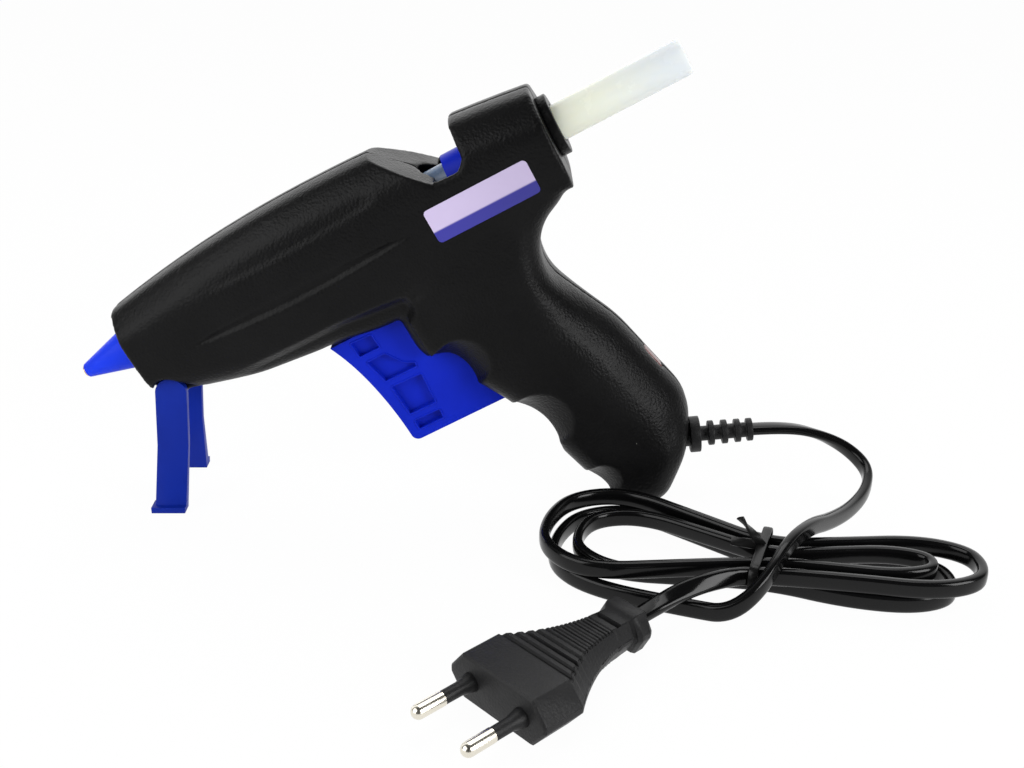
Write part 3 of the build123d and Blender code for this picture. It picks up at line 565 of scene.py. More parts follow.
def new_group(name, inputs, output):
    """An empty shader group with named number sockets, the sockets that it is given and its result."""
    group = bpy.data.node_groups.new(name, "ShaderNodeTree")
    for label, default in inputs.items():
        socket = group.interface.new_socket(label, in_out="INPUT", socket_type="NodeSocketFloat")
        socket.default_value = default
    group.interface.new_socket(output, in_out="OUTPUT", socket_type="NodeSocketFloat")
    given = group.nodes.new("NodeGroupInput").outputs
    return group, given, group.nodes.new("NodeGroupOutput").inputs[output]


def moulded_grain_group():
    """Fine pebbled height of a spark-eroded mould."""
    group, given, result = new_group("Moulded grain", {"Scale": 1500.0}, "Height")
    place = {"Vector": object_place(group), "Scale": given["Scale"]}
    cells = add_node(group, "TexVoronoi", {**place, "Smoothness": 0.6}, feature="SMOOTH_F1")
    noise = add_node(group, "TexNoise", {**place, "Detail": 3.0})
    pebbles = math_node(group, "MULTIPLY", cells.outputs["Distance"], 0.55)
    feed(group, result, math_node(group, "ADD", pebbles, noise.outputs["Fac"]))
    return group


def patches_group():
    """A soft, uneven value between a low and a high, as handling and moulding leave it."""
    group, given, result = new_group("Patches", {"Scale": 60.0, "Low": 0.0, "High": 1.0}, "Value")
    noise = add_node(group, "TexNoise", {"Vector": object_place(group), "Scale": given["Scale"],
                                         "Detail": 5.0, "Roughness": 0.6})
    spread = add_node(group, "MapRange", {"Value": noise.outputs["Fac"], "From Min": 0.3, "From Max": 0.7,
                                          "To Min": given["Low"], "To Max": given["High"]})
    feed(group, result, spread.outputs["Result"])
    return group


def dust_group():
    """A mask of sparse small specks."""
    group, given, result = new_group("Dust specks", {"Scale": 160.0, "Size": 0.05}, "Mask")
    cells = add_node(group, "TexVoronoi", {"Vector": object_place(group), "Scale": given["Scale"]})
    near = math_node(group, "LESS_THAN", cells.outputs["Distance"], given["Size"])
    tone = add_node(group, "SeparateColor", {"Color": cells.outputs["Color"]})
    rare = math_node(group, "GREATER_THAN", tone.outputs["Red"], 0.8)
    feed(group, result, math_node(group, "MULTIPLY", near, rare))
    return group


GROUP_MAKERS = {"Moulded grain": moulded_grain_group, "Patches": patches_group, "Dust specks": dust_group}


def place_group(tree, name, **values):
    """What a shared group puts out, in a material. The group is made the first time."""
    shared = bpy.data.node_groups.get(name) or GROUP_MAKERS[name]()
    return add_node(tree, "Group", values, node_tree=shared).outputs[0]


def new_finish(name, even):
    """A material with only its shader, whose even values are set on the shader itself."""
    material = bpy.data.materials.new(name)
    material.use_nodes = True
    shader = material.node_tree.nodes["Principled BSDF"]
    for label, value in even.items():
        shader.inputs[label].default_value = value
    return material, material.node_tree, shader


def mix_colours(tree, factor, first, second):
    """A colour between two, by a varying factor. A Mix node's colours are its inputs 6 and 7."""
    ends = [end if isinstance(end, NodeSocket) else (*end, 1.0) for end in (first, second)]
    mix = add_node(tree, "Mix", data_type="RGBA")
    for number, value in ((0, factor), (6, ends[0]), (7, ends[1])):
        feed(tree, mix.inputs[number], value)
    return mix.outputs[2]


def shaded(colour, share):
    return tuple(channel * share for channel in colour)


def lay_surface(tree, shader, base, roughness, gloss_scale, grain):
    """Feeds a shader its base colour, an uneven roughness and a grained normal."""
    low, high = roughness
    scale, strength, depth = grain
    height = place_group(tree, "Moulded grain", Scale=scale)
    bump = add_node(tree, "Bump", {"Strength": strength, "Distance": depth * MM, "Height": height})
    gloss = place_group(tree, "Patches", Scale=gloss_scale, Low=low, High=high)
    feed(tree, shader.inputs["Base Color"], base)
    feed(tree, shader.inputs["Roughness"], gloss)
    feed(tree, shader.inputs["Normal"], bump.outputs["Normal"])


def grained_finish(name, colour, roughness, grain, spread=0.25, dust=0.0, **even):
    """A material whose tone spreads unevenly about its colour, with specks of dust if it has any."""
    labels = {label.replace("_", " "): value for label, value in even.items()}
    material, tree, shader = new_finish(name, labels)
    tone = place_group(tree, "Patches", Scale=PATCH_SCALE, Low=0.0, High=1.0)
    base = mix_colours(tree, tone, shaded(colour, 1 - spread), shaded(colour, 1 + spread))
    if dust:
        specks = place_group(tree, "Dust specks", Scale=DUST_SCALE, Size=dust)
        base = mix_colours(tree, specks, base, DUST_COLOUR)
    lay_surface(tree, shader, base, roughness, GLOSS_SCALE, grain)
    return material


def axis_place(tree, start):
    """Sockets for how far a point is along the gun's axis from a start, and above it, in metres."""
    turn = add_node(tree, "Mapping", vector_type="TEXTURE")
    feed(tree, turn.inputs["Vector"], object_place(tree))
    turn.inputs["Location"].default_value = start
    turn.inputs["Rotation"].default_value = (0.0, -AXIS_TILT, 0.0)
    split = add_node(tree, "SeparateXYZ", {"Vector": turn.outputs["Vector"]})
    return split.outputs["X"], split.outputs["Z"]


def between(tree, value, low, high):
    """A value's smooth rise from 0 to 1 between two limits in millimetres."""
    limits = {"Value": value, "From Min": low * MM, "From Max": high * MM}
    return add_node(tree, "MapRange", limits, interpolation_type="SMOOTHSTEP").outputs["Result"]


def milky_glue(colours):
    """Translucent glue with painted shade on its front part, where it shows in the notch, and a cooler,
    greyer tone towards its cold end.
    """
    labels = {"Subsurface Weight": 0.8, "Subsurface Radius": (1.0, 0.9, 0.75), "Subsurface Scale": 0.004,
              "Specular IOR Level": 0.4, "IOR": 1.45}
    material, tree, shader = new_finish("Milky glue", labels)
    along = axis_place(tree, gun_point(0))[0]
    # Painted shade: the stick's front part, seen in the notch, takes a dark blue-grey
    with_notch_shade = mix_colours(tree, between(tree, along, *STICK_SHADE_FADE), colours.stick_painted_shade, colours.stick)
    base = mix_colours(tree, between(tree, along, *STICK_COLD), with_notch_shade, colours.stick_end)
    lay_surface(tree, shader, base, **STICK_SURFACE)
    return material


def label_film(colours):
    """A satin film in two fields that meet along the gun's axis."""
    material, tree, shader = new_finish("Label film", {"Specular IOR Level": 0.4})
    along, above = axis_place(tree, gun_point(LABEL[0], LABEL_BAND))
    fade = between(tree, along, 0.0, LABEL[1] - LABEL[0])
    upper = mix_colours(tree, fade, colours.label_upper, shaded(colours.label_upper, 0.82))
    lower = mix_colours(tree, fade, shaded(colours.label_lower, 1.4), colours.label_lower)
    field = mix_colours(tree, between(tree, above, -LABEL_BLEND, LABEL_BLEND), lower, upper)
    lay_surface(tree, shader, field, **LABEL_SURFACE)
    return material


GRADED_FINISHES = {"Milky glue": milky_glue, "Label film": label_film}


def finish(name):
    """One of the finishes, made the first time that a piece takes it."""
    known = bpy.data.materials.get(name)
    if known:
        return known
    colours = bpy.context.scene.glue_gun.colours
    if name in GRADED_FINISHES:
        return GRADED_FINISHES[name](colours)
    values = dict(FINISHES[name])
    if isinstance(values["colour"], str):
        values["colour"] = getattr(colours, values["colour"])
    return grained_finish(name, **values)


# Casing

def barrel_top(s):
    """Height of the CAD barrel's flat top above the axis."""
    share = (s - BARREL_FRONT) / (BARREL_REAR - BARREL_FRONT)
    ends = TOP_AT_FRONT + (TOP_AT_REAR - TOP_AT_FRONT) * share
    return ends + 4.0 * share * (1.0 - share) * (TOP_AT_MIDDLE - (TOP_AT_FRONT + TOP_AT_REAR) / 2)


def barrel_half(s):
    """Half the width of the CAD barrel."""
    share = portion(BARREL_FRONT, TAPER_END, s)
    return HALF_WIDTH - (HALF_WIDTH - NOSE_HALF_WIDTH) * (1.0 - share) ** 2


def arched(point, shape):
    """Where a point above the axis goes as the flat top swells into an arch, up to the notch's slope."""
    s, t = gun_place(point)
    if t <= 0.0:
        return point
    half, top = barrel_half(s), barrel_top(s)
    across, up = abs(point.y) / MM / half, t / top
    flat = power_sum(across, up, BARREL_POWER)
    skin = ease(*SKIN, flat)
    scale = 1.0 + skin * (flat / power_sum(across, up, shape.arch_fullness) - 1.0)
    rise = shape.arch_rise / MM * (half - FLAT_HALF_WIDTH) / (HALF_WIDTH - FLAT_HALF_WIDTH)
    height = up * scale * (top + rise * skin)
    (high_s, high_t), (low_s, low_t) = NOTCH_SLOPE
    if s < low_s:
        height = min(height, max(t, high_t + (low_t - high_t) * (s - high_s) / (low_s - high_s)))
    return gun_point(s, height, math.copysign(across * scale * half, point.y))


def upper_flute(s, t):
    """A broad hollow that starts at a crease along the barrel and fades out upwards."""
    middle, height = UPPER_CREASE
    crease = height + UPPER_BOW * (s - middle) ** 2
    low, high = (crease + edge for edge in UPPER_EDGE)
    return swell(UPPER_RUN, s) * swell((low, high, high, UPPER_TOP), t)


def lower_flute(s, t):
    """A narrow hollow, pointed at both ends and steepest at its lower edge."""
    middle, height = LOWER_MIDDLE
    share = abs((s - middle) / LOWER_REACH)
    if share >= 1.0:
        return 0.0
    half = LOWER_HALF * (1.0 - share ** LOWER_POINT)
    return min(1.0, half) * swell(LOWER_SECTION, (t - height + half) / (2.0 * half))


def trigger_hollow(s, t):
    """The hollow over the trigger: a crease along its upper edge, and a rounded nose at its rear end."""
    nose_s, nose_t, radius = NOSE
    ahead = nose_s - s
    above = t - min(nose_t + NOSE_RISE * max(0.0, ahead), NOSE_CEILING)
    distance = max(0.0, above) if ahead > 0.0 else math.hypot(ahead, above)
    return ease(*NOSE_START, s) * min(1.0, max(0.0, NOSE_WALL - NOSE_WALL * distance / radius))


def dropped_skirt(point):
    """Where a point goes as the edge of the barrel comes down beside the top of the trigger."""
    s, t = gun_place(point)
    share = swell(SKIRT_RUN, s) * ease(*SKIRT_DEPTH, -t)
    return point - RISE * (SKIRT_DROP * share * MM)


def finger_hollow(x, z):
    """How far a place is past the rim of a round-ended hollow that runs out over the handle's front."""
    past = 0.0
    for centre_x, centre_z, radius in FINGER_SCOOPS:
        offset = Vector((x - centre_x, z - centre_z))
        across = abs(offset.x * SCOOP_RUN.y - offset.y * SCOOP_RUN.x)
        if across < radius:
            run = offset.dot(SCOOP_RUN) + math.sqrt(radius ** 2 - across ** 2)
            past = max(past, run * ease(0.0, SCOOP_EDGE, radius - across))
    return past


def handle_place(point):
    """How far along the handle's middle line a point is, and how far behind it, in millimetres."""
    offset = Vector((point.x, point.z)) / MM - HANDLE_START
    return offset.dot(HANDLE_RUN), offset.dot(HANDLE_BACK)


def handle_swell(point):
    """How near a point is to the middle line of the handle, from 0 to 1."""
    along, behind = handle_place(point)
    distance = math.hypot(along - min(max(along, 0.0), HANDLE_LENGTH), behind)
    return max(0.0, 1.0 - (distance / HANDLE_REACH) ** 2)


def back_reaches(bm):
    """How far the handle's back is behind its middle line, at even steps along it."""
    reaches = [0.0] * REACH_COUNT
    for vert in bm.verts:
        along, behind = handle_place(vert.co)
        if 0.0 <= along < REACH_COUNT * REACH_STEP:
            number = int(along / REACH_STEP)
            reaches[number] = max(reaches[number], behind)
    return reaches


def section_share(y, behind, reach):
    """How far out a point is in the handle's section, a box with rounded corners: 1 is on its skin."""
    flat_half, flat_reach = HANDLE_HALF_WIDTH - HANDLE_ROUND, reach - HANDLE_ROUND
    if y * flat_reach >= behind * HANDLE_HALF_WIDTH:
        return y / HANDLE_HALF_WIDTH
    if behind * flat_half >= y * reach:
        return behind / reach
    place, corner = Vector((y, behind)), Vector((flat_half, flat_reach))
    lean = place.dot(corner)
    inside = corner.length_squared - HANDLE_ROUND ** 2
    return place.length_squared / (lean + math.sqrt(lean ** 2 - place.length_squared * inside))


def rounded_back(point, reaches, shape):
    """Where a point behind the handle's middle line goes as its section turns into an oval."""
    along, behind = handle_place(point)
    weight = swell(BACK_RUN, along)
    if behind <= 0.0 or weight == 0.0:
        return point
    number = along / REACH_STEP - 0.5
    low = int(number)
    reach = reaches[low] + (reaches[low + 1] - reaches[low]) * (number - low)
    across = abs(point.y) / MM
    flat = section_share(across, behind, reach)
    oval = power_sum(across / HANDLE_HALF_WIDTH, behind / reach, shape.back_fullness)
    scale = weight * ease(*SKIN, flat) * (flat / oval - 1.0)
    move = HANDLE_BACK * (behind * scale * MM)
    return point + Vector((move.x, point.y * scale, move.y))


def sharpened_corner(point):
    """Where a point goes as the lower corner of the rear block is pulled out."""
    offset = BLOCK_CORNER - Vector((point.x, point.z)) / MM
    near = max(0.0, 1.0 - offset.length / CORNER_REACH)
    return point + Vector((offset.x, 0.0, offset.y)) * (near * near * MM)


def flank_relief(point, shape):
    """How far a place on the casing's flank moves outwards, in metres."""
    s, t = gun_place(point)
    x, z = point.x / MM, point.z / MM
    barrel = shape.barrel_crown * max(0.0, 1.0 - ((t - CROWN_MIDDLE) / CROWN_REACH) ** 2)
    crown = power_sum(barrel, shape.handle_crown * handle_swell(point), 3)
    flutes = shape.upper_depth * upper_flute(s, t) + shape.lower_depth * lower_flute(s, t)
    hollow = shape.nose_depth * trigger_hollow(s, t)
    past = finger_hollow(x, z)
    scoop = min(shape.scoop_slope * past + SCOOP_BEND * past ** 2, SCOOP_LIMIT) * MM
    if point.y > 0.0:
        scoop *= ease(*SCREW_LAND, (Vector((x, z)) - HEEL_SCREW).length)
    return max(crown - flutes - hollow - scoop, -SCOOP_LIMIT * MM)


def moulded_half(node, shape):
    """A CAD half remeshed evenly, with softened edges, an arched top and its moulded relief."""
    bm = bmesh.new()
    bm.from_mesh(evaluated_mesh(mesh_of(welded(node), node + "_welded"), shape.voxel))
    for _ in range(shape.softening):
        bmesh.ops.smooth_vert(bm, verts=bm.verts[:], factor=0.5, use_axis_x=True, use_axis_y=True,
                              use_axis_z=True)
    reaches = back_reaches(bm)
    for vert in bm.verts:
        outside = max(0.0, abs(vert.co.y) / MM - CORE_HALF) / (HALF_WIDTH - CORE_HALF)
        vert.co = dropped_skirt(vert.co)
        shift = outside * flank_relief(vert.co, shape)
        vert.co = sharpened_corner(rounded_back(arched(vert.co, shape), reaches, shape))
        vert.co.y += shift if vert.co.y > 0.0 else -shift
    return bm


class GLUEGUN_OT_casing(Operator):
    """Moulds the two casing halves"""
    bl_idname = "glue_gun.casing"
    bl_label = "Casing"

    def execute(self, context):
        for side in ("left", "right"):
            node = side + "_housing"
            bm = moulded_half(node, context.scene.glue_gun.casing)
            add_piece("casing_" + side, bm, "Casing black", "casing", "black_plastic", node, crease=180.0)
        return {"FINISHED"}


def lay_on_flank(bm, piece, lift):
    """Lays the vertices of a bmesh on the near flank of a piece."""
    faces = [polygon.vertices for polygon in piece.data.polygons]
    tree = BVHTree.FromPolygons([vert.co for vert in piece.data.vertices], faces)
    for vert in bm.verts:
        hit = tree.ray_cast(Vector((vert.co.x, RAY_START * MM, vert.co.z)), Vector((0.0, 1.0, 0.0)))[0]
        if hit is None:
            raise RuntimeError("the label reaches past the casing")
        vert.co.y = hit.y - lift * MM


class GLUEGUN_OT_label(Operator):
    """Sticks the plain rating label on the near flank"""
    bl_idname = "glue_gun.label"
    bl_label = "Label"

    def execute(self, context):
        s0, s1, t0, t1 = LABEL
        bm = bmesh.new()
        corners = [gun_point(*place) for place in ((s0, t0), (s1, t0), (s1, t1), (s0, t1))]
        bm.faces.new([bm.verts.new(corner) for corner in corners])
        bmesh.ops.bevel(bm, geom=bm.verts[:], offset=LABEL_CORNER * MM, affect="VERTICES", segments=6,
                        profile=0.5, material=-1)
        cuts = [(gun_point(s), AXIS) for s in range(int(s0) + 1, int(s1))]
        cuts += [(gun_point(0, t), RISE) for t in range(int(t0) + 1, int(t1) + 1)]
        for place, normal in cuts:
            bmesh.ops.bisect_plane(bm, geom=bm.verts[:] + bm.edges[:] + bm.faces[:], plane_co=place,
                                   plane_no=normal)
        lay_on_flank(bm, bpy.data.objects["casing_left"], LABEL_LIFT)
        bmesh.ops.recalc_face_normals(bm, faces=bm.faces[:])
        if sum(face.normal.y for face in bm.faces) > 0:
            bmesh.ops.reverse_faces(bm, faces=bm.faces[:])
        bmesh.ops.solidify(bm, geom=bm.faces[:], thickness=LABEL_THICKNESS * MM)
        add_piece("rating_label", bm, "Label film", "casing", "label", "label_plate")
        return {"FINISHED"}


# Feed line, trigger and stand

class GLUEGUN_OT_nozzle_boot(Operator):
    """Turns the blue boot over the nozzle"""
    bl_idname = "glue_gun.nozzle_boot"
    bl_label = "Nozzle boot"

    def execute(self, context):
        bm = turned(BOOT_OUTLINE, gun_point(0), AXIS, RISE)
        ease_edges(bm, 0.45, segments=4)
        add_piece("boot", bm, "Boot blue", "casing", "blue_plastic", "nozzle_boot")
        return {"FINISHED"}


class GLUEGUN_OT_glue_stick(Operator):
    """Turns the loaded glue stick"""
    bl_idname = "glue_gun.glue_stick"
    bl_label = "Glue stick"

    def execute(self, context):
        outline = [(STICK_FRONT, 0.0), (STICK_FRONT, STICK_R), (STICK_REAR, STICK_R), (STICK_REAR, 0.0)]
        bm = turned(outline, gun_point(0), AXIS, RISE)
        ease_edges(bm, 0.3, least_turn=60.0)
        add_piece("stick", bm, "Milky glue", "stick", "glue", "glue_stick")
        return {"FINISHED"}


def pocket_rims(bm):
    """Raised rims round the pockets on both flanks of the trigger."""
    rims = []
    for face in bm.faces:
        depth = abs(face.calc_center_median().y) / MM
        if abs(face.normal.y) > 0.99 and abs(depth - POCKET_FLOOR) < POCKET_SLACK:
            flank = math.copysign(TRIGGER_HALF * MM, face.normal.y)
            ring = [Vector((vert.co.x, flank, vert.co.z)) for vert in face.verts]
            curve = nurbs_curve("pocket_rim", ring, cyclic=True, steps=2)
            curve.bevel_depth = RIM_R * MM
            curve.bevel_resolution = 2
            rims.append(evaluated_mesh(curve))
    return rims


class GLUEGUN_OT_moving_plastic(Operator):
    """Eases the edges of the trigger, the stand, the carriage and the guide ring"""
    bl_idname = "glue_gun.moving_plastic"
    bl_label = "Trigger, stand and feed"

    def execute(self, context):
        for name, node, body, look, slot, edge in (
                ("finger_trigger", "trigger", "trigger", "Trigger blue", "blue_plastic", 0.25),
                ("flip_stand", "stand", "stand", "Stand blue", "blue_plastic", 0.4),
                ("carriage_collar", "feed_carriage", "carriage", "Trigger blue", "blue_plastic", 0.4),
                ("guide_ring", "rear_guide_ring", "casing", "Casing black", "black_plastic", 0.7)):
            bm = cad_copy(node)
            rims = pocket_rims(bm) if node == "trigger" else []
            ease_edges(bm, edge)
            for rim in rims:
                bm.from_mesh(rim)
            add_piece(name, bm, look, body, slot, node)
        return {"FINISHED"}


class GLUEGUN_OT_indicator(Operator):
    """Eases the indicator lens and sets it flush with the rounded back"""
    bl_idname = "glue_gun.indicator"
    bl_label = "Indicator lens"

    def execute(self, context):
        bm = cad_copy("indicator_lens")
        ease_edges(bm, 0.5, segments=4)
        bmesh.ops.translate(bm, verts=bm.verts[:], vec=LENS_SINK * MM)
        add_piece("lens", bm, "Indicator lens", "casing", "red_lens", "indicator_lens")
        return {"FINISHED"}


# Cord, tie and plug

def heading_line(degrees):
    """The level direction of a heading."""
    turn = math.radians(degrees)
    return Vector((math.cos(turn), math.sin(turn), 0.0))


def lobe(heading, reach, half, start_side, waist0, waist1, z0, z1):
    """The points of one end loop of the hank, from one side of the tie round to the other."""
    along = heading_line(heading)
    far = Vector((0.0, 1.0, 0.0)) - along * along.y
    far.normalize()
    leaving, coming = (0.45 * waist + 0.5 * half for waist in (waist0, waist1))
    outline = [(0.0, waist0, 0.0), (0.36, leaving, 0.2), (0.72, half, 0.4), (0.95, 0.64 * half, 0.45),
               (1.0, 0.0, 0.5), (0.95, -0.64 * half, 0.55), (0.72, -half, 0.6), (0.36, -coming, 0.8)]
    points = []
    for share, out, climb in outline:
        point = Vector((*TIE_PLACE, z0 + (z1 - z0) * climb))
        points.append(point + along * (share * reach) + far * (start_side * out))
    return points


def hank_route():
    """Three loops through the tie: in along the low layer, and out along the high one."""
    low, high = LOW_LAYER, HIGH_LAYER
    loops = [(LEFT_HEADING, 66, 23.5, -1, OUTER_WAIST, OUTER_WAIST, low, low),
             (RIGHT_HEADING, 52, 11.8, 1, OUTER_WAIST, OUTER_WAIST, low, low),
             (LEFT_HEADING, 59, 16.2, -1, INNER_WAIST, INNER_WAIST, low, high),
             (RIGHT_HEADING, 46, 6.4, 1, INNER_WAIST, INNER_WAIST, high, high),
             (LEFT_HEADING, 69, 24.0, -1, INNER_WAIST, OUTER_WAIST, high, high),
             (RIGHT_HEADING, 60, 12.8, 1, OUTER_WAIST, OUTER_WAIST, high, high)]
    route = []
    for loop in loops:
        route += lobe(*loop)
    return route[2:]


def plug_point(distance, across=0.0, height=0.0):
    """A place on the plug, from the middle of its pin face towards the cord, in millimetres."""
    along = Vector((math.cos(PLUG_HEADING), math.sin(PLUG_HEADING), 0.0))
    side = Vector((along.y, -along.x, 0.0))
    return PLUG_PLACE + along * distance + side * across + UP * height


def cord_points():
    """The whole route with the roll of the flat cord at each point."""
    hank = hank_route()
    tail = [*PLUG_ROUTE, plug_point(PLUG_LENGTH + PLUG_LEAD), plug_point(PLUG_LENGTH)]
    level = [0.0] * (len(LEAD_ROUTE) - len(LEAD_ROLLS) + len(hank))
    rolls = [roll * QUARTER_TURN for roll in (*LEAD_ROLLS, *level, *PLUG_ROLLS)]
    return [Vector(point) * MM for point in (*LEAD_ROUTE, *hank, *tail)], rolls


class GLUEGUN_OT_strain_relief(Operator):
    """Turns the strain relief with its flange and ribs"""
    bl_idname = "glue_gun.strain_relief"
    bl_label = "Strain relief"

    def execute(self, context):
        outline = list(RELIEF_FLANGE)
        for place, radius in RELIEF_RIBS:
            end = place + RELIEF_RIB
            outline += [(place, RELIEF_NECK), (place, radius), (end, radius), (end, RELIEF_NECK)]
        outline.append((RELIEF_END, 0.0))
        axis = Vector((math.cos(RELIEF_RISE), 0.0, math.sin(RELIEF_RISE)))
        bm = turned(outline, RELIEF_PLACE * MM, axis, Vector((-axis.z, 0.0, axis.x)), steps=48)
        ease_edges(bm, 0.3)
        add_piece("cord_relief", bm, "Plug vinyl", "casing", "cord_cover", "strain_relief")
        return {"FINISHED"}


def tie_strip(name, points, rolls, size, cyclic=False):
    """A strip of the tie, drawn out along points in millimetres."""
    curve = nurbs_curve(name, [point * MM for point in points], rolls, cyclic=cyclic, twist="MINIMUM")
    wide, thin = size
    return drawn_out(curve, flat_profile("tie_strip", wide * MM, thin * MM, count=12))


class GLUEGUN_OT_twist_tie(Operator):
    """Bends the tie round the hank and twists its ends"""
    bl_idname = "glue_gun.twist_tie"
    bl_label = "Twist tie"

    def execute(self, context):
        along = heading_line(LEFT_HEADING)
        across = Vector((-along.y, along.x, 0.0))
        centre = Vector((*TIE_PLACE, 0.0)) + along * TIE_SHIFT
        half, low, high = TIE_HALF, TIE_LOW, TIE_HIGH
        outline = [(-half, low), (-half / 2, low), (half / 2, low), (half, low), (half, high / 2),
                   (half, high), (half / 2, high), (-half / 2, high), (-half, high), (-half, high / 2)]
        ring = [centre + across * out + UP * z for out, z in outline]
        bm = tie_strip("tie_ring", ring, [QUARTER_TURN] * len(ring), TIE_STRIP, cyclic=True)
        root = centre - across + UP * high
        for lean, length, turns in TIE_TAILS:
            axis = Vector(lean).normalized()
            shares = [step / TAIL_STEPS for step in range(TAIL_STEPS + 1)]
            points = [root + axis * (length * share) for share in shares]
            tail = tie_strip("tie_tail", points, [math.pi * turns * share for share in shares], TAIL_STRIP)
            bm.from_mesh(mesh_of(tail, "tie_tail"))
        add_piece("tie", bm, "Tie vinyl", "casing", "tie_cover", "twist_tie")
        return {"FINISHED"}


def plug_section(distance, half_wide, half_thick, slope, sunk=0.0):
    """A ring of the plug: a flat hexagon with blunt sides, whose faces can be sunk between the ribs."""
    blunt = PLUG_BLUNT * half_thick
    cut = slope * (half_thick - sunk - blunt) / (half_thick - blunt)
    top = half_thick - sunk
    corners = [(-half_wide, -blunt), (-half_wide, blunt), (cut - half_wide, top), (half_wide - cut, top),
               (half_wide, blunt), (half_wide, -blunt), (half_wide - cut, -top), (cut - half_wide, -top)]
    return [plug_point(distance, across, height) * MM for across, height in corners]


def plug_size(distance):
    """Half the plug's width, half its thickness and its slopes' reach, between its head and its neck."""
    start, end, head, neck = PLUG_WIDTH
    half_wide = neck + (head - neck) * (1.0 - portion(start, end, distance)) ** PLUG_WAIST
    sizes = [half_wide]
    for start, end, head, neck in (PLUG_THICKNESS, PLUG_SLOPE):
        sizes.append(head + (neck - head) * ease(start, end, distance))
    return sizes


def plug_sections():
    """The rings of the plug's body from its pin face to its tail."""
    rings = list(PLUG_HEAD)
    for count, first, pitch, height in PLUG_RIBS:
        for number in range(count):
            for share, sunk in RIB_SECTION:
                distance = first + pitch * (number + share)
                rings.append((distance, *plug_size(distance), height * sunk))
    return [plug_section(*ring) for ring in (*rings, *PLUG_TAIL)]


def sink_plug_slots(bm):
    """Presses the cross slot near the tail into the top and the underside."""
    for height in (SLOT_HEIGHT, -SLOT_HEIGHT):
        place = plug_point(SLOT_PLACE, 0.0, height) * MM
        face = min(bm.faces, key=lambda item: (item.calc_center_median() - place).length)
        bmesh.ops.inset_individual(bm, faces=[face], thickness=SLOT_RIM * MM, depth=-SLOT_DEPTH * MM)


def pin_outline():
    """The outline of a pin with a round tip."""
    turns = [math.radians(angle) for angle in range(0, 91, 15)]
    tip = [(PIN_END + PIN_R * (1 - math.cos(turn)), PIN_R * math.sin(turn)) for turn in turns]
    return [*tip, (PIN_ROOT, PIN_R), (PIN_ROOT, 0.0)]


class GLUEGUN_OT_plug(Operator):
    """Moulds the flat plug and turns its pins"""
    bl_idname = "glue_gun.plug"
    bl_label = "Plug"

    def execute(self, context):
        bm = lofted(plug_sections())
        sink_plug_slots(bm)
        ease_edges(bm, 0.25, least_turn=20.0, segments=2)
        add_piece("plug", bm, "Plug vinyl", "casing", "cord_cover", "plug_body")
        axis = (plug_point(1.0) - plug_point(0.0)).normalized()
        for number, side in enumerate((-1, 1), 1):
            origin = plug_point(0.0, side * PIN_SPACING / 2) * MM
            bm = turned(pin_outline(), origin, axis, UP, steps=40)
            add_piece(f"pin_tip_{number}", bm, "Nickel plate", "casing", "nickel", f"plug_pin_{number}")
            bm = turned(SLEEVE_OUTLINE, origin, axis, UP, steps=40)
            ease_edges(bm, 0.15)
            add_piece(f"pin_cover_{number}", bm, "Plug vinyl", "casing", "cord_cover", f"pin_sleeve_{number}")
        return {"FINISHED"}


class GLUEGUN_OT_cord(Operator):
    """Draws the flat cord along its route"""
    bl_idname = "glue_gun.cord"
    bl_label = "Cord"

    def execute(self, context):
        shape = context.scene.glue_gun.cord
        points, rolls = cord_points()
        line = evaluated_mesh(nurbs_curve("cord_line", points, steps=shape.steps))
        curve = nurbs_curve("cord_route", points, rolls, steps=shape.steps)
        bm = drawn_out(curve, flat_profile("cord_section", shape.width, shape.thickness))
        cord = add_piece("cord", bm, "Cord vinyl", "casing", "cord_cover", "cord_lead", "cord_hank",
                         "plug_lead")
        return {"FINISHED"}


class GLUEGUN_OT_inner_parts(Operator):
    """Gives the CAD pieces that stay their finishes"""
    bl_idname = "glue_gun.inner_parts"
    bl_label = "Inner parts"

    def execute(self, context):
        for part in frame["record"]["subparts"]:
            node = frame["nodes"][part["node"]]
            if not node.hide_render:
                node.data.materials.clear()
                node.data.materials.append(finish(SLOT_FINISHES[part["material_slot"]]))
        return {"FINISHED"}


# Stage

def add_floor():
    """A plain pale floor that shows as white and keeps a faint shadow."""
    bm = bmesh.new()
    bmesh.ops.create_grid(bm, x_segments=1, y_segments=1, size=FLOOR_HALF)
    material, tree, shader = new_finish("Pale floor", {"Base Color": (0.9, 0.9, 0.9, 1.0), "Roughness": 0.9,
                                                       "Specular IOR Level": 0.0})
    rays = add_node(tree, "LightPath").outputs
    seen = math_node(tree, "MAXIMUM", rays["Is Camera Ray"], rays["Is Glossy Ray"])
    seen = math_node(tree, "MAXIMUM", seen, rays["Is Transmission Ray"])
    share = math_node(tree, "MULTIPLY", seen, FLOOR_GLOW)
    glow = add_node(tree, "Emission")
    mix = add_node(tree, "MixShader", {0: share, 1: shader.outputs["BSDF"], 2: glow.outputs["Emission"]})
    feed(tree, tree.nodes["Material Output"].inputs["Surface"], mix.outputs["Shader"])
    mesh = mesh_of(bm, "floor")
    mesh.materials.append(material)
    new_object("floor", mesh)


